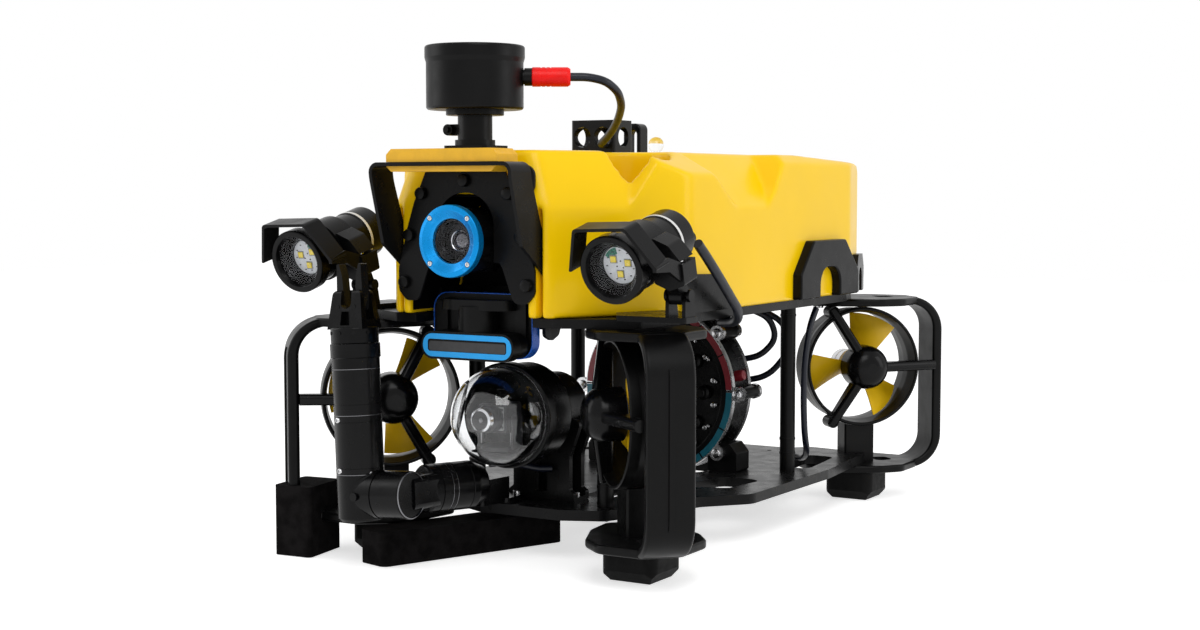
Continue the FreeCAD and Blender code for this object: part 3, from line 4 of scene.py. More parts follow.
import bmesh
import bpy
from mathutils import Matrix, Vector


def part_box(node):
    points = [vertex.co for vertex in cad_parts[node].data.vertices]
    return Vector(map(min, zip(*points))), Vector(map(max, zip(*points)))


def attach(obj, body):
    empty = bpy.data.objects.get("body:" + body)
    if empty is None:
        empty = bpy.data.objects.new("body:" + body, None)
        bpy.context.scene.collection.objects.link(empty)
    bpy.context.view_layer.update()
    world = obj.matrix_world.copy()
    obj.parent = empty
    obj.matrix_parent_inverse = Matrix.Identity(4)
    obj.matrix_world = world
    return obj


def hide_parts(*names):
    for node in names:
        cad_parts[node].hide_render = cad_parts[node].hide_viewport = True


# Looks of the underwater inspection ROV, in metres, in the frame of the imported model:
# +X port, -Y bow, +Z up, Z = 0 on the floor.

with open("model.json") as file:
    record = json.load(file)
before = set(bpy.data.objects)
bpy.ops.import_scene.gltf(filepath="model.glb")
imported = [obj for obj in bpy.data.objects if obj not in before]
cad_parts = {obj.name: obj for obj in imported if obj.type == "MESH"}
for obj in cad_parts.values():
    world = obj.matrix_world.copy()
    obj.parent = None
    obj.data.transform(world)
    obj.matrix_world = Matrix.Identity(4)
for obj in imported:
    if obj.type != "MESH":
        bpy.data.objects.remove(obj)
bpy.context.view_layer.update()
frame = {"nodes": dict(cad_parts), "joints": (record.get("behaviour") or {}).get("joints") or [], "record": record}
nodes = frame["nodes"]
joints = {joint["name"]: joint for joint in frame["joints"]}
MM = 0.001


# ---------------------------------------------------------------- camera
CAMERA_AT = Vector((1.0923, -1.9119, 0.4172))
CAMERA_AZIMUTH = math.radians(30.8)
CAMERA_DOWN = math.radians(4.1)
CAMERA_LENS = 53.3


def add_camera():
    data = bpy.data.cameras.new("camera")
    data.lens = CAMERA_LENS
    data.sensor_width = 36.0
    data.clip_start = 0.05
    camera = bpy.data.objects.new("camera", data)
    bpy.context.scene.collection.objects.link(camera)
    level = math.cos(CAMERA_DOWN)
    look = Vector((-math.sin(CAMERA_AZIMUTH) * level, math.cos(CAMERA_AZIMUTH) * level,
                   -math.sin(CAMERA_DOWN)))
    camera.location = CAMERA_AT
    camera.rotation_euler = look.to_track_quat("-Z", "Y").to_euler()
    bpy.context.scene.camera = camera


# ---------------------------------------------------------------- materials
def link(tree, source, output, target, socket):
    tree.links.new(source.outputs[output], target.inputs[socket])


def noise(tree, where, size, detail=3.0):
    """A noise texture in object space whose features are about size metres across."""
    node = tree.nodes.new("ShaderNodeTexNoise")
    node.inputs["Scale"].default_value = 1.0 / size
    node.inputs["Detail"].default_value = detail
    link(tree, where, "Object", node, "Vector")
    return node


def surface(name, colour, rough, metallic=0.0, specular=0.5, vary=0.08, vary_size=0.06, rough_vary=0.06,
            grain=0.1, grain_size=0.0012, coat=0.0, coat_rough=0.08, cells=False, edge_highlight=0.0, tint=None):
    """A principled material with mottled colour, uneven gloss and a fine grain, and a painted highlight on the
    sharp edges in a lighter copy of the colour; tint is the colour that the mottling goes towards."""
    material = bpy.data.materials.new(name)
    material.use_nodes = True
    tree = material.node_tree
    shader = tree.nodes["Principled BSDF"]
    shader.inputs["Metallic"].default_value = metallic
    shader.inputs["Specular IOR Level"].default_value = specular
    shader.inputs["Coat Weight"].default_value = coat
    shader.inputs["Coat Roughness"].default_value = coat_rough
    where = tree.nodes.new("ShaderNodeTexCoord")

    mottle = noise(tree, where, vary_size)
    mix = tree.nodes.new("ShaderNodeMix")
    mix.data_type = "RGBA"
    other = tint or [channel * (1 - 2 * vary) for channel in colour]
    mix.inputs["A"].default_value = (*other, 1)
    mix.inputs["B"].default_value = (*colour, 1)
    spread = tree.nodes.new("ShaderNodeMapRange")
    spread.inputs["From Min"].default_value = 0.35
    spread.inputs["From Max"].default_value = 0.6
    link(tree, mottle, "Fac", spread, "Value")
    link(tree, spread, "Result", mix, "Factor")
    base = mix
    # painted highlight: sharp edges found by pointiness get a lighter copy of the colour
    if edge_highlight:
        geometry = tree.nodes.new("ShaderNodeNewGeometry")
        edge = tree.nodes.new("ShaderNodeMapRange")
        edge.inputs["From Min"].default_value = 0.52
        edge.inputs["From Max"].default_value = 0.62
        edge.inputs["To Max"].default_value = edge_highlight
        link(tree, geometry, "Pointiness", edge, "Value")
        highlit_edge = tree.nodes.new("ShaderNodeMix")
        highlit_edge.data_type = "RGBA"
        highlit_edge.inputs["B"].default_value = (*[min(1.0, channel * 1.5 + 0.05) for channel in colour], 1)
        link(tree, edge, "Result", highlit_edge, "Factor")
        link(tree, base, "Result", highlit_edge, "A")
        base = highlit_edge
    tree.links.new(base.outputs["Result"], shader.inputs["Base Color"])

    gloss = noise(tree, where, vary_size * 0.35, 5.0)
    rough_range = tree.nodes.new("ShaderNodeMapRange")
    rough_range.inputs["From Min"].default_value = 0.3
    rough_range.inputs["From Max"].default_value = 0.7
    rough_range.inputs["To Min"].default_value = max(0.02, rough - rough_vary)
    rough_range.inputs["To Max"].default_value = rough + rough_vary
    link(tree, gloss, "Fac", rough_range, "Value")
    link(tree, rough_range, "Result", shader, "Roughness")

    if grain:
        if cells:
            fine = tree.nodes.new("ShaderNodeTexVoronoi")
            fine.inputs["Scale"].default_value = 1.0 / grain_size
            link(tree, where, "Object", fine, "Vector")
            height = "Distance"
        else:
            fine = noise(tree, where, grain_size, 4.0)
            height = "Fac"
        bump = tree.nodes.new("ShaderNodeBump")
        bump.inputs["Strength"].default_value = grain
        bump.inputs["Distance"].default_value = grain_size * 0.25
        link(tree, fine, height, bump, "Height")
        link(tree, bump, "Normal", shader, "Normal")
    return material


def clear_surface(name, colour, ior, rough=0.0):
    """Clear acrylic or glass with very faint smears."""
    material = surface(name, colour, rough + 0.01, vary=0.01, rough_vary=0.01, grain=0.0)
    shader = material.node_tree.nodes["Principled BSDF"]
    shader.inputs["Transmission Weight"].default_value = 1.0
    shader.inputs["IOR"].default_value = ior
    return material


def brushed(name, colour, rough, stretch=(1, 1, 30)):
    """Metal with fine lines along one direction."""
    material = surface(name, colour, rough, metallic=1.0, grain=0.0, vary=0.05, rough_vary=0.05)
    tree = material.node_tree
    where = next(node for node in tree.nodes if node.type == "TEX_COORD")
    mapping = tree.nodes.new("ShaderNodeMapping")
    mapping.inputs["Scale"].default_value = stretch
    link(tree, where, "Object", mapping, "Vector")
    lines = tree.nodes.new("ShaderNodeTexNoise")
    lines.inputs["Scale"].default_value = 120.0
    link(tree, mapping, "Vector", lines, "Vector")
    bump = tree.nodes.new("ShaderNodeBump")
    bump.inputs["Strength"].default_value = 0.06
    bump.inputs["Distance"].default_value = 0.0002
    link(tree, lines, "Fac", bump, "Height")
    link(tree, bump, "Normal", tree.nodes["Principled BSDF"], "Normal")
    return material


MATERIALS = {
    "float_yellow": surface("float_yellow", (1.0, 0.63, 0.0), 0.32, specular=0.16, vary=0.015,
                            vary_size=0.12, rough_vary=0.04, grain=0.03, grain_size=0.006, coat=0.12,
                            coat_rough=0.08),
    "foam_bar": surface("foam_bar", (0.85, 0.46, 0.01), 0.5, vary=0.06, vary_size=0.02, grain=0.25,
                        grain_size=0.0012, cells=True),
    # black_plate carries a faint painted highlight on its sharp edges
    "black_plate": surface("black_plate", (0.0022, 0.0022, 0.0024), 0.30, specular=0.10, vary=0.15,
                           vary_size=0.05, grain=0.05, grain_size=0.0009, edge_highlight=0.08),
    "black_plastic": surface("black_plastic", (0.0026, 0.0026, 0.0027), 0.36, specular=0.12, vary=0.15,
                             vary_size=0.05, grain=0.08, grain_size=0.0010),
    # black_anodised carries a faint painted highlight on its sharp edges
    "black_anodised": surface("black_anodised", (0.0020, 0.0020, 0.0023), 0.24, specular=0.14, vary=0.15,
                              vary_size=0.04, grain=0.03, grain_size=0.0005, edge_highlight=0.1),
    "foot_rubber": surface("foot_rubber", (0.004, 0.004, 0.004), 0.62, specular=0.1, vary=0.2,
                           vary_size=0.02, grain=0.3, grain_size=0.0014),
    "floor_foam": surface("floor_foam", (0.011, 0.010, 0.0102), 0.95, specular=0.03, vary=0.25,
                          vary_size=0.015, grain=0.5, grain_size=0.0016, cells=True),
    "propeller_yellow": surface("propeller_yellow", (0.95, 0.58, 0.004), 0.36, specular=0.3, vary=0.05,
                                vary_size=0.04, grain=0.1, grain_size=0.0010),
    "silver": brushed("silver", (0.62, 0.62, 0.63), 0.26),
    "steel": brushed("steel", (0.55, 0.55, 0.56), 0.22),
    "dull_silver": brushed("dull_silver", (0.20, 0.20, 0.21), 0.34),
    "clear": clear_surface("clear", (0.98, 0.99, 1.0), 1.47),
    "thin_window": clear_surface("thin_window", (0.96, 0.97, 1.0), 1.16),
    # blue_anodised carries a strong painted highlight on its sharp edges, in a lighter blue
    "blue_anodised": surface("blue_anodised", (0.0, 0.26, 0.66), 0.28, metallic=0.5, specular=0.2,
                             vary=0.06, vary_size=0.03, grain=0.05, grain_size=0.0005, edge_highlight=0.4),
    "red_plastic": surface("red_plastic", (0.95, 0.008, 0.006), 0.35, specular=0.2, vary=0.06,
                           vary_size=0.02, grain=0.15, grain_size=0.0008),
    "cable": surface("cable", (0.004, 0.006, 0.014), 0.36, specular=0.3, vary=0.15, vary_size=0.02,
                     grain=0.12, grain_size=0.0008),
    "reflector": surface("reflector", (0.022, 0.022, 0.024), 0.22, metallic=0.5, grain=0.0, vary=0.1,
                         vary_size=0.01),
    "led_board": surface("led_board", (0.72, 0.73, 0.72), 0.45, vary=0.05, vary_size=0.006, grain=0.1,
                         grain_size=0.0008),
    "led_pad": surface("led_pad", (0.30, 0.31, 0.30), 0.4, vary=0.2, vary_size=0.002, grain=0.1,
                       grain_size=0.0006),
    "emitter": surface("emitter", (0.93, 0.70, 0.02), 0.3, vary=0.05, vary_size=0.002, grain=0.0, coat=0.6),
    "circuit_green": surface("circuit_green", (0.02, 0.22, 0.13), 0.4, vary=0.3, vary_size=0.0015,
                             grain=0.1, grain_size=0.0006),
    "white_plastic": surface("white_plastic", (0.75, 0.75, 0.74), 0.4, vary=0.03, grain=0.1,
                             grain_size=0.0008),
    "bezel_blue": surface("bezel_blue", (0.0, 0.36, 0.86), 0.35, vary=0.04, vary_size=0.02, grain=0.05,
                          grain_size=0.0006),
    "band_blue": surface("band_blue", (0.001, 0.11, 0.62), 0.3, metallic=0.2, vary=0.06, vary_size=0.03,
                         grain=0.05, grain_size=0.0006),
    "window_grey": surface("window_grey", (0.022, 0.022, 0.024), 0.5, vary=0.1, vary_size=0.01, grain=0.15,
                           grain_size=0.0006),
    "lens_glass": surface("lens_glass", (0.008, 0.008, 0.010), 0.05, specular=0.9, grain=0.0, vary=0.2,
                          vary_size=0.004, rough_vary=0.02, coat=1.0, coat_rough=0.02,
                          tint=(0.02, 0.012, 0.02)),
    "strip_red": surface("strip_red", (0.24, 0.012, 0.022), 0.35, vary=0.08, vary_size=0.02, grain=0.08,
                         grain_size=0.0008),
    "strip_teal": surface("strip_teal", (0.0, 0.13, 0.19), 0.35, vary=0.08, vary_size=0.02, grain=0.08,
                          grain_size=0.0008),
    # painted shade: near-black matt sheet, used only for the shaded inside of the camera bay
    "shade_matt_black": surface("shade_matt_black", (0.0022, 0.0022, 0.0024), 0.6, specular=0.06, vary=0.2,
                          vary_size=0.02, grain=0.1, grain_size=0.0010),
    "lens_black": surface("lens_black", (0.0030, 0.0030, 0.0034), 0.22, specular=0.22, vary=0.15,
                          vary_size=0.01, grain=0.03, grain_size=0.0005),
    "camera_grey": surface("camera_grey", (0.03, 0.03, 0.032), 0.38, specular=0.3, vary=0.12,
                           vary_size=0.01, grain=0.15, grain_size=0.0006),
}


def paint_cad_nodes():
    """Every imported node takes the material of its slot."""
    for entry in frame["record"]["subparts"]:
        node = nodes.get(entry["node"])
        if node is None:
            continue
        slot_name = entry["material_slot"]
        for index in range(max(1, len(node.data.materials))):
            if index < len(node.data.materials):
                node.data.materials[index] = MATERIALS[slot_name]
            else:
                node.data.materials.append(MATERIALS[slot_name])


# ---------------------------------------------------------------- stage
AMBIENT_LIGHT = 0.60
BACKDROP_LIGHT = 1.0
FLOOR_GLOW = 0.62               # lifts the floor to white without hiding the object's shadow


def seen_by_eye(tree):
    """A node that gives 1 to camera, transmission and glossy rays, and 0 to all other light."""
    path = tree.nodes.new("ShaderNodeLightPath")
    seen = tree.nodes.new("ShaderNodeMath")
    seen.operation = "MAXIMUM"
    mirror = tree.nodes.new("ShaderNodeMath")
    mirror.operation = "MAXIMUM"
    link(tree, path, "Is Camera Ray", seen, 0)
    link(tree, path, "Is Transmission Ray", seen, 1)
    tree.links.new(seen.outputs[0], mirror.inputs[0])
    link(tree, path, "Is Glossy Ray", mirror, 1)
    return mirror


def white_world():
    """Plain light from all round; the camera, mirrors and glass see white."""
    world = bpy.data.worlds.new("studio")
    world.use_nodes = True
    bpy.context.scene.world = world
    tree = world.node_tree
    tree.nodes.clear()
    watched = seen_by_eye(tree)
    ambient = tree.nodes.new("ShaderNodeBackground")
    ambient.inputs["Color"].default_value = (1, 1, 1, 1)
    ambient.inputs["Strength"].default_value = AMBIENT_LIGHT
    backdrop = tree.nodes.new("ShaderNodeBackground")
    backdrop.inputs["Color"].default_value = (1, 1, 1, 1)
    backdrop.inputs["Strength"].default_value = BACKDROP_LIGHT
    mix = tree.nodes.new("ShaderNodeMixShader")
    tree.links.new(watched.outputs[0], mix.inputs["Fac"])
    tree.links.new(ambient.outputs[0], mix.inputs[1])
    tree.links.new(backdrop.outputs[0], mix.inputs[2])
    output = tree.nodes.new("ShaderNodeOutputWorld")
    tree.links.new(mix.outputs[0], output.inputs["Surface"])


def floor():
    """A pale floor that keeps the object's shadow; away from it the camera sees white."""
    size = 6.0
    mesh = bpy.data.meshes.new("floor")
    mesh.from_pydata([(-size, -size, 0), (size, -size, 0), (size, size, 0), (-size, size, 0)], [],
                     [(0, 1, 2, 3)])
    obj = bpy.data.objects.new("floor", mesh)
    bpy.context.scene.collection.objects.link(obj)
    obj.location.z = -0.0006
    material = surface("floor_paper", (0.86, 0.86, 0.86), 0.9, specular=0.1, vary=0.005, vary_size=0.4,
                       grain=0.0)
    mesh.materials.append(material)
    tree = material.node_tree
    shader = tree.nodes["Principled BSDF"]
    glow = tree.nodes.new("ShaderNodeEmission")
    glow.inputs["Strength"].default_value = FLOOR_GLOW
    watched = seen_by_eye(tree)
    extra = tree.nodes.new("ShaderNodeAddShader")
    link(tree, shader, "BSDF", extra, 0)
    link(tree, glow, "Emission", extra, 1)
    choose = tree.nodes.new("ShaderNodeMixShader")
    tree.links.new(watched.outputs[0], choose.inputs["Fac"])
    tree.links.new(shader.outputs["BSDF"], choose.inputs[1])
    tree.links.new(extra.outputs[0], choose.inputs[2])
    output = tree.nodes["Material Output"]
    tree.links.new(choose.outputs[0], output.inputs["Surface"])


def soft_lamp(name, at, size, power):
    data = bpy.data.lights.new(name, "AREA")
    data.shape = "RECTANGLE"
    data.size = size[0]
    data.size_y = size[1]
    data.energy = power
    lamp = bpy.data.objects.new(name, data)
    bpy.context.scene.collection.objects.link(lamp)
    lamp.location = at
    aim = Vector((0, 0, 0.25)) - Vector(at)
    lamp.rotation_euler = aim.to_track_quat("-Z", "Y").to_euler()


def studio():
    bpy.context.scene.view_settings.view_transform = "Standard"
    white_world()
    floor()
    soft_lamp("key", (1.2, -1.6, 2.2), (1.4, 1.4), 24)
    soft_lamp("fill", (-2.0, -1.2, 1.1), (1.2, 1.6), 12)
    soft_lamp("side", (2.4, 0.6, 0.9), (1.0, 1.6), 12)


# ---------------------------------------------------------------- mesh helpers, in millimetres
def local_frame(origin, along, up=(0, 0, 1)):
    """Turns local millimetres into the row frame: y runs along the axis, z is as near up as it can be."""
    y_axis = Vector(along).normalized()
    z_axis = Vector(up)
    z_axis = (z_axis - y_axis * z_axis.dot(y_axis)).normalized()
    x_axis = y_axis.cross(z_axis)
    turn = Matrix((x_axis, y_axis, z_axis)).transposed().to_4x4()
    return Matrix.Translation(origin) @ turn @ Matrix.Scale(MM, 4)


def finished_mesh(name, build):
    """A mesh from a bmesh that build fills in, with its faces turned outward."""
    work = bmesh.new()
    build(work)
    bmesh.ops.remove_doubles(work, verts=work.verts, dist=1e-5)
    bmesh.ops.recalc_face_normals(work, faces=work.faces)
    mesh = bpy.data.meshes.new(name)
    work.to_mesh(mesh)
    work.free()
    return mesh


def turned(profile, steps=72, closed=False):
    """A solid of revolution about local y from (radius, y) points."""
    def build(work):
        rings = []
        for radius, y in profile:
            if radius < 1e-6:
                rings.append([work.verts.new((0, y, 0))] * steps)
                continue
            ring = []
            for i in range(steps):
                angle = 2 * math.pi * i / steps
                ring.append(work.verts.new((radius * math.cos(angle), y, radius * math.sin(angle))))
            rings.append(ring)
        pairs = list(zip(rings, rings[1:]))
        if closed:
            pairs.append((rings[-1], rings[0]))
        for first, second in pairs:
            for i in range(steps):
                corners = [first[i], first[(i + 1) % steps], second[(i + 1) % steps], second[i]]
                distinct = list(dict.fromkeys(corners))
                if len(distinct) > 2:
                    work.faces.new(distinct)
    return finished_mesh("turned", build)


def prism(outline, low, high, plane="xz", hole=None):
    """An outline raised between two levels of the third axis, with an optional hole of as many points."""
    place = {"xz": lambda a, b, c: (a, c, b),
             "xy": lambda a, b, c: (a, b, c),
             "yz": lambda a, b, c: (c, a, b)}[plane]

    def build(work):
        levels = [[work.verts.new(place(a, b, c)) for a, b in outline] for c in (low, high)]
        count = len(outline)
        for i in range(count):
            j = (i + 1) % count
            work.faces.new([levels[0][i], levels[0][j], levels[1][j], levels[1][i]])
        if hole is None:
            work.faces.new(levels[0])
            work.faces.new(levels[1])
            return
        inner = [[work.verts.new(place(a, b, c)) for a, b in hole] for c in (low, high)]
        for i in range(count):
            j = (i + 1) % count
            work.faces.new([inner[0][i], inner[0][j], inner[1][j], inner[1][i]])
            for level in (0, 1):
                work.faces.new([levels[level][i], levels[level][j], inner[level][j], inner[level][i]])
    return finished_mesh("prism", build)


def rounded_box(half_a, half_b, corner, centre=(0.0, 0.0), steps=8):
    """Outline of a rectangle with round corners."""
    points = []
    for quarter, (sign_a, sign_b) in enumerate(((1, 1), (-1, 1), (-1, -1), (1, -1))):
        for i in range(steps + 1):
            angle = math.pi / 2 * (quarter + i / steps)
            points.append((centre[0] + sign_a * (half_a - corner) + corner * math.cos(angle),
                           centre[1] + sign_b * (half_b - corner) + corner * math.sin(angle)))
    return points


def arc_band(inner, outer, low, high, first_deg, last_deg, steps=24):
    """Part of a ring about local y; angles go from +x towards +z."""
    angles = [math.radians(first_deg + (last_deg - first_deg) * i / steps) for i in range(steps + 1)]
    outline = [(outer * math.cos(a), outer * math.sin(a)) for a in angles]
    outline += [(inner * math.cos(a), inner * math.sin(a)) for a in reversed(angles)]

    def build(work):
        count = len(angles)
        levels = [[work.verts.new((x, y, z)) for x, z in outline] for y in (low, high)]
        total = len(outline)
        for i in range(total):
            j = (i + 1) % total
            work.faces.new([levels[0][i], levels[0][j], levels[1][j], levels[1][i]])
        for level in levels:
            for i in range(count - 1):
                work.faces.new([level[i], level[i + 1], level[total - 2 - i], level[total - 1 - i]])
    return finished_mesh("arc", build)


def screw_head(radius, height, towards=-1):
    """A button-head screw with a hexagon socket, standing on y = 0 and rising towards -y by default."""
    top = height * towards
    profile = [(radius, 0), (radius, top * 0.45), (radius * 0.82, top * 0.9), (radius * 0.5, top),
               (radius * 0.5, top * 0.45), (0, top * 0.4)]
    return turned(profile, steps=24)


def moved(mesh, offset=(0, 0, 0), turn=None):
    mesh.transform(Matrix.Translation(offset) @ (turn or Matrix.Identity(4)))
    return mesh


def joined(meshes):
    work = bmesh.new()
    for mesh in meshes:
        work.from_mesh(mesh)
    result = bpy.data.meshes.new("joined")
    work.to_mesh(result)
    work.free()
    for mesh in meshes:
        bpy.data.meshes.remove(mesh)
    return result


def piece(name, mesh, body, material, place, bevel=0.0, segments=2, smooth_deg=35):
    """Makes a visible piece from a local mesh: places, softens and paints it, and gives it its body."""
    mesh.transform(place)
    if place.determinant() < 0:
        mesh.flip_normals()
    mesh.name = name
    obj = bpy.data.objects.new(name, mesh)
    bpy.context.scene.collection.objects.link(obj)
    mesh.shade_smooth()
    mesh.set_sharp_from_angle(angle=math.radians(smooth_deg))
    if bevel:
        softening = obj.modifiers.new("bevel", "BEVEL")
        softening.width = bevel * MM
        softening.segments = segments
        softening.limit_method = "ANGLE"
        softening.angle_limit = math.radians(30)
    obj.data.materials.append(MATERIALS[material])
    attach(obj, body)
    return obj


def on_circle(radius, count, first_deg=0.0):
    """Local (x, z) places round the y axis."""
    turn = 2 * math.pi / count
    start = math.radians(first_deg)
    return [(radius * math.cos(start + turn * i), radius * math.sin(start + turn * i))
            for i in range(count)]


SHIFT_Y = 20.6                  # mm from the drawing's origin to the frame's
ARM_LEAN = math.radians(-4)
BOW = (0, -1, 0)
STERN = (0, 1, 0)


# ---------------------------------------------------------------- float
FLOAT_VOXEL = 2.4               # mm
FLOAT_SMOOTHING = 14            # passes


def float_skin():
    """The float's shape with the large soft edges of moulded foam, under its gloss coat."""
    source = nodes["float_block"]
    shape = source.data.copy()
    shape.materials.clear()
    obj = bpy.data.objects.new("float_skin", shape)
    bpy.context.scene.collection.objects.link(obj)
    remesh = obj.modifiers.new("remesh", "REMESH")
    remesh.mode = "VOXEL"
    remesh.voxel_size = FLOAT_VOXEL * MM
    smooth = obj.modifiers.new("smooth", "SMOOTH")
    smooth.factor = 0.6
    smooth.iterations = FLOAT_SMOOTHING
    thin = obj.modifiers.new("thin", "DECIMATE")
    thin.ratio = 0.35
    depsgraph = bpy.context.evaluated_depsgraph_get()
    obj.data = bpy.data.meshes.new_from_object(obj.evaluated_get(depsgraph))
    obj.modifiers.clear()
    obj.data.name = "float_skin"
    obj.data.shade_smooth()
    obj.data.materials.append(MATERIALS["float_yellow"])
    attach(obj, "frame")
    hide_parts("float_block")


# ---------------------------------------------------------------- thrusters
CORNERS = ("front_port", "front_starboard", "rear_port", "rear_starboard")


def thruster_details(corner):
    """Silver rotor can with its dark seam, behind the yellow hub."""
    joint = joints[corner + "_propeller_spin"]
    place = local_frame(joint["pos_m"], joint["axis"])
    body = corner + "_propeller"
    can = turned([(0, -52.2), (13, -52.2), (18.2, -47), (18.2, -34), (17.6, -33.6), (17.6, -32.4),
                  (18.2, -32), (18.2, -13.9), (0, -13.9)])
    piece(corner + "_rotor_can", can, body, "silver", place)
    seam = turned([(17.7, -33.6), (18.0, -33.6), (18.0, -32.4), (17.7, -32.4)], closed=True)
    piece(corner + "_rotor_seam", seam, body, "black_plastic", place)


# ---------------------------------------------------------------- lamps
LAMP_FROM_PIVOT = Vector((-38.0, -73.0, 27.0)) * MM
LAMP_NOSE_DOWN = math.radians(14.5)


def lamp_details(side):
    """Dished stepped reflector, round board with three emitters, flat window and the silver screws."""
    pivot = Vector(joints[side + "_lamp_tilt"]["pos_m"])
    axis = Vector((0, math.cos(LAMP_NOSE_DOWN), math.sin(LAMP_NOSE_DOWN)))
    place = local_frame(pivot + LAMP_FROM_PIVOT, axis)
    body = side + "_lamp"
    dish = turned([(28.4, 5.6), (27.4, 7.6), (26.6, 7.8), (25.6, 9.8), (24.8, 10.0), (23.8, 12.0),
                   (23.0, 12.2), (21.4, 14.4), (20.2, 15.4), (19.8, 21.0), (20.4, 21.0), (20.4, 15.8),
                   (21.6, 14.8), (28.8, 6.4)], closed=True)
    piece(side + "_lamp_reflector", dish, body, "reflector", place)
    board = turned([(0, 20.6), (19.4, 20.6), (19.6, 20.9), (19.6, 22.2), (0, 22.2)])
    piece(side + "_lamp_board", board, body, "led_board", place)
    tilt = 1 if side == "port" else -1
    emitters = []
    bases = []
    for angle in (40, 165, 275):
        x = 9.4 * math.cos(math.radians(angle)) * -tilt
        z = 9.4 * math.sin(math.radians(angle))
        emitters.append(moved(prism(rounded_box(3.3, 3.3, 0.9), 19.3, 20.5), (x, 0, z)))
        bases.append(moved(prism(rounded_box(4.3, 4.3, 0.5), 20.3, 20.7), (x, 0, z)))
    piece(side + "_lamp_emitters", joined(emitters), body, "emitter", place, bevel=0.3)
    piece(side + "_lamp_emitter_pads", joined(bases), body, "led_pad", place)
    first = 100 if side == "port" else 30
    patch = arc_band(11.5, 18.6, 20.45, 20.62, first, first + 50)
    piece(side + "_lamp_circuit", patch, body, "circuit_green", place)
    tiny = [moved(prism(rounded_box(0.9, 0.5, 0.2), 20.0, 20.6), (x, 0, z))
            for x, z in on_circle(15.4, 11, 20)]
    tiny += [moved(prism(rounded_box(0.6, 0.6, 0.2), 19.9, 20.6), (x, 0, z))
             for x, z in on_circle(4.2, 3, 80)]
    piece(side + "_lamp_components", joined(tiny), body, "camera_grey", place)
    window = turned([(0, 4.2), (28.8, 4.2), (28.8, 5.6), (0, 5.6)])
    piece(side + "_lamp_window", window, body, "thin_window", place)
    lip = turned([(29.2, 2.2), (30.2, 1.7), (30.6, 3.4), (29.2, 4.4)], closed=True)
    piece(side + "_lamp_seal", lip, body, "foot_rubber", place)
    band = turned([(29.6, 99.0), (29.75, 99.3), (29.75, 102.7), (29.6, 103.0)])
    piece(side + "_lamp_band", band, body, "white_plastic", place)
    pinch = moved(screw_head(3.6, 2.6), (52, 49, -2.4), Matrix.Rotation(math.pi / 2, 4, "X"))
    piece(side + "_lamp_pinch_screw", pinch, body, "steel", place)


# ---------------------------------------------------------------- imaging sonar
def imaging_sonar_details():
    """Blue bezel round a dark acoustic window, and a blue band round the housing."""
    low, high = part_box("imaging_sonar")
    middle = Vector(((low.x + high.x) / 2, low.y, low.z + 15.0 * MM))
    place = local_frame(middle, STERN)
    bezel = prism(rounded_box(57.6, 12.6, 12.2), -0.5, 0.6, hole=rounded_box(51.2, 6.6, 3.0))
    piece("sonar_bezel", bezel, "imaging_sonar", "bezel_blue", place, bevel=0.25)
    window = prism(rounded_box(51.0, 6.4, 3.0), 0.3, 1.6)
    piece("sonar_window", window, "imaging_sonar", "window_grey", place, bevel=0.2)
    outline = rounded_box(64.6, 35.1, 18.4, centre=(0, 21.0))
    band = prism(outline, 29.6, 44.4, hole=rounded_box(63.8, 34.3, 17.8, centre=(0, 21.0)))
    piece("sonar_band", band, "imaging_sonar", "band_blue", place, bevel=0.2)


# ---------------------------------------------------------------- zoom camera
def zoom_camera_details():
    """Lens barrel rings, front glass, and the screws of the blue ring."""
    low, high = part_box("zoom_camera_ring")
    face = Vector(((low.x + high.x) / 2, low.y, (low.z + high.z) / 2))
    place = local_frame(face, STERN)
    rings = turned([(22.4, 8.6), (22.0, 9.9), (20.6, 10.1), (20.0, 12.4), (19.0, 12.6), (18.2, 15.0),
                    (16.8, 15.3), (16.4, 18.6), (15.2, 18.9), (14.6, 21.6), (12.0, 21.9), (11.4, 24.6),
                    (0, 24.8), (0, 26.0), (22.0, 26.0)])
    piece("zoom_lens_barrel", rings, "zoom_camera", "lens_black", place)
    front = turned([(0, 20.6), (3.5, 20.9), (7.0, 21.7), (9.6, 23.0), (10.6, 24.2), (10.6, 24.9),
                    (0, 24.9)])
    piece("zoom_lens_glass", front, "zoom_camera", "lens_glass", place)
    edge = turned([(10.6, 22.6), (11.3, 22.0), (11.5, 22.8), (10.8, 23.6)], closed=True)
    piece("zoom_lens_edge", edge, "zoom_camera", "silver", place)
    window = turned([(0, 7.0), (24.2, 7.0), (24.2, 8.2), (0, 8.2)])
    piece("zoom_window", window, "zoom_camera", "thin_window", place)
    screws = [moved(screw_head(3.0, 1.8), (x, 1.9, z)) for x, z in on_circle(34.0, 4, 45)]
    piece("zoom_ring_screws", joined(screws), "zoom_camera", "steel", place)


PLATE_FACE_Y = -381.0 + SHIFT_Y
BAY_FRONT_Y = -372.0 + SHIFT_Y
BAY_BACK_Y = -287.5 + SHIFT_Y
SHADE_SHEET_THICKNESS = 0.8                    # thickness


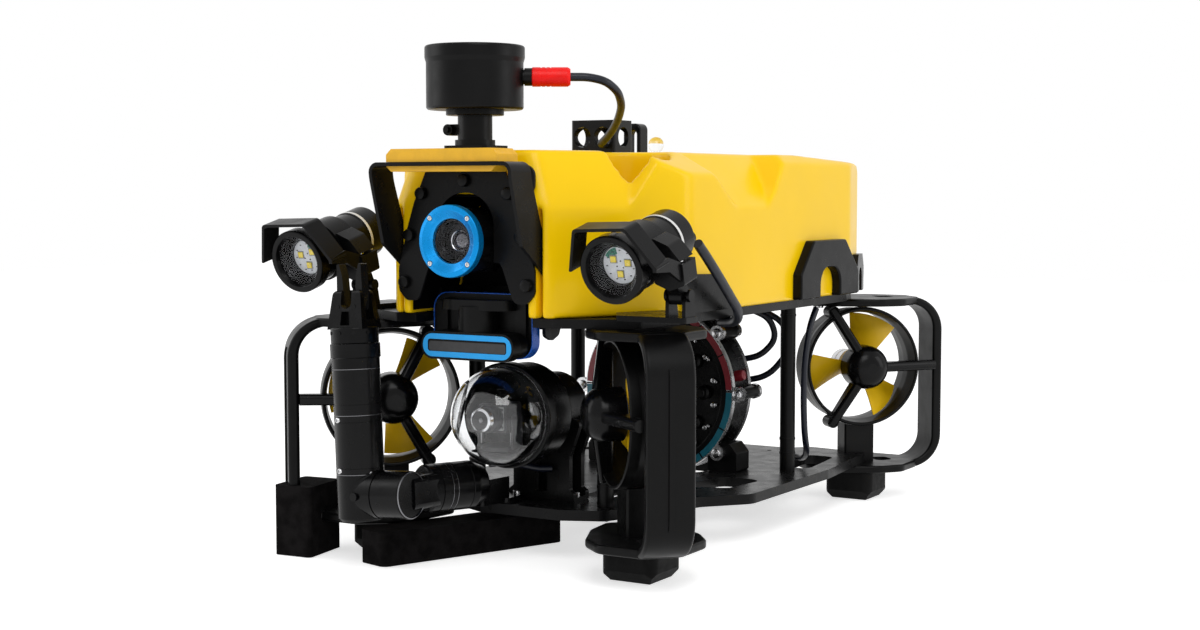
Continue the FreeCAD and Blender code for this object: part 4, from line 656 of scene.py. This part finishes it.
def bay_painted_shade():
    """Matt black sheets inside the float's camera bay, behind the bent front plate: painted shade that darkens the
    inside of the bay.
    """
    place = local_frame((0, 0, 0), STERN)
    outer = [(76.0, 284), (76.0, 299.6), (63.4, 342.6), (46.4, 351.4), (46.4, 396), (36, 408.6)]
    inner = [(35.6, 407.8), (45.6, 395.6), (45.6, 350.9), (62.8, 342.0), (75.2, 299.4), (75.2, 284)]
    outline = [(-x, z) for x, z in outer] + outer[::-1] + inner[::-1] + [(-x, z) for x, z in inner]
    # painted shade: near-black sheets on the bay's walls and back stand in for the shade inside the bay
    piece("camera_bay_painted_shade", prism(outline, BAY_FRONT_Y, BAY_BACK_Y), "frame", "shade_matt_black", place)
    back = [(-x, z) for x, z in outer] + outer[::-1]
    piece("camera_bay_back_painted_shade", prism(back, BAY_BACK_Y, BAY_BACK_Y + SHADE_SHEET_THICKNESS), "frame", "shade_matt_black", place)


def plate_knobs():
    """Black button heads over the seven bolts of the bent front plate."""
    place = local_frame((0, 0, 0), STERN)
    knob = [(6.9, 0.6), (6.9, -3.6), (6.2, -5.4), (4.6, -6.1), (0, -6.2), (0, 0.6)]
    heads = [moved(turned(knob, steps=32), (x, PLATE_FACE_Y, z))
             for x, z in ((-79, 315), (79, 315), (-72, 366), (72, 366), (-56, 411), (56, 411), (0, 425))]
    piece("front_plate_knobs", joined(heads), "frame", "black_plastic", place)


# ---------------------------------------------------------------- manipulator
def arm_details():
    """Bright seams and screws of the forearm, and the rims of the elbow and base actuators."""
    base_axis = Vector(joints["arm_base_roll"]["axis"])
    base_end = Vector(joints["arm_base_roll"]["pos_m"])
    lean = Matrix.Rotation(ARM_LEAN, 3, base_axis)
    elbow = Vector(joints["arm_elbow"]["pos_m"])
    along, front, across = lean @ Vector((0, 0, 1)), lean @ Vector(BOW), lean @ Vector((1, 0, 0))
    middle = elbow - across * 12 * MM
    seams = [turned([(25.3, y), (25.8, y + 0.1), (25.8, y + 0.7), (25.3, y + 0.8)], closed=True)
             for y in (22.1, 86.1, 136.1)]
    piece("forearm_seams", joined(seams), "arm_forearm", "dull_silver", local_frame(middle, along, front))
    for number, (turn_deg, height, radius) in enumerate(((-18, 27, 3.4), (-18, 82, 3.4), (64, 24, 2.2))):
        turn = math.radians(turn_deg)
        out = front * math.cos(turn) + across * math.sin(turn)
        at = middle + along * height * MM + out * 25.4 * MM
        piece("forearm_screw_%d" % (number + 1), screw_head(radius, 2.4), "arm_forearm", "steel",
              local_frame(at, -out))
    rim = turned([(24.2, 56.7), (25.2, 56.0), (25.4, 56.3), (24.4, 57.1)], closed=True)
    piece("elbow_rim", rim, "arm_shoulder", "dull_silver", local_frame(elbow, across))
    rings = [turned([(26.1, y), (26.7, y + 0.1), (26.7, y + 0.7), (26.1, y + 0.8)], closed=True)
             for y in (-26.1, -20.1)]
    piece("base_actuator_seams", joined(rings), "arm_shoulder", "dull_silver",
          local_frame(base_end, base_axis))


# ---------------------------------------------------------------- dome camera
def dome_details():
    """The dome's bright clamp edge, and the camera inside: lens, collar, board, chips and yoke plates."""
    pan = Vector(joints["dome_camera_pan"]["pos_m"])
    place = local_frame(pan, STERN)
    flange = turned([(52.2, 9.4), (54.9, 9.4), (54.9, 10.0), (52.2, 10.0)], closed=True)
    piece("dome_edge", flange, "frame", "clear", place)
    lens = turned([(0, -36.8), (5, -36.3), (8.6, -34.6), (9.6, -32.6), (9.6, -31), (0, -31)])
    piece("dome_camera_lens", lens, "gimbal_camera", "lens_glass", place)
    collar = turned([(10.2, -38.3), (12.8, -37.2), (13.6, -32), (12.9, -32), (12.0, -36.2), (10.2, -37.4)],
                    closed=True)
    piece("dome_camera_collar", collar, "gimbal_camera", "silver", place)
    board = prism(rounded_box(15, 13, 1.5), -15.1, -14.1)
    piece("dome_camera_board", board, "gimbal_camera", "led_pad", place, bevel=0.2)
    caps = [moved(prism(rounded_box(2.4, 1.2, 0.3), -15.7, -15.1), (x, 0, z))
            for x, z in ((12, 10), (12, 5), (-12, 9), (-12, -9), (12, -9))]
    piece("dome_camera_chips", joined(caps), "gimbal_camera", "camera_grey", place)
    rim = [moved(prism(rounded_box(1.2, 16, 0.6), -8, 8), (side * 20.1, 0, -14), None) for side in (1, -1)]
    piece("dome_yoke_plates", joined(rim), "gimbal_yoke", "silver", place, bevel=0.3)


# ---------------------------------------------------------------- electronics pod
def pod_details():
    """Colour strip and screws on the drum's face, a blank plate on the front ring and the red vent cap."""
    low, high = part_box("pod_drum")
    ring_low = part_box("pod_clamp_rings")[0]
    axis_at = Vector((0, ring_low.y, (low.z + high.z) / 2))
    place = local_frame(axis_at, STERN)
    for name, first, last, paint_name in (("upper", 3, 76, "strip_red"), ("lower", -76, 1, "strip_teal")):
        for side in (1, -1):
            start, end = (first, last) if side > 0 else (180 - last, 180 - first)
            label = "port" if side > 0 else "starboard"
            band = arc_band(97.4, 105.4, -0.35, 0.2, start, end)
            piece("pod_strip_" + name + "_" + label, band, "frame", paint_name, place)
    marks = [arc_band(97.2, 105.6, -0.5, 0.1, angle - 0.5, angle + 0.5, steps=2)
             for angle in (-52, -26, 1.8, 28, 54, 126, 152, 178.2, 206, 232)]
    piece("pod_strip_marks", joined(marks), "frame", "black_plastic", place)
    screws = [moved(screw_head(2.3, 1.6), (x, 1.0, z)) for x, z in on_circle(84.0, 18, 10)]
    piece("pod_face_screws", joined(screws), "frame", "steel", place)
    plate = arc_band(106.9, 107.4, 0.6, 6.4, 12, 42)
    piece("pod_blank_label", plate, "frame", "led_pad", place)
    turn = math.radians(11.5)
    out = Vector((math.cos(turn), 0, math.sin(turn)))
    cap = turned([(7, 1), (7, -9), (6, -12), (3, -13.2), (0, -13.4), (0, 1)], steps=32)
    at = axis_at + out * 97.6 * MM + Vector((0, 30 * MM, 0))
    piece("pod_vent_cap", cap, "frame", "strip_red", local_frame(at, -out))


add_camera()
paint_cad_nodes()
float_skin()
for corner in CORNERS:
    thruster_details(corner)
for side in ("port", "starboard"):
    lamp_details(side)
imaging_sonar_details()
zoom_camera_details()
bay_painted_shade()
plate_knobs()
arm_details()
dome_details()
pod_details()
studio()
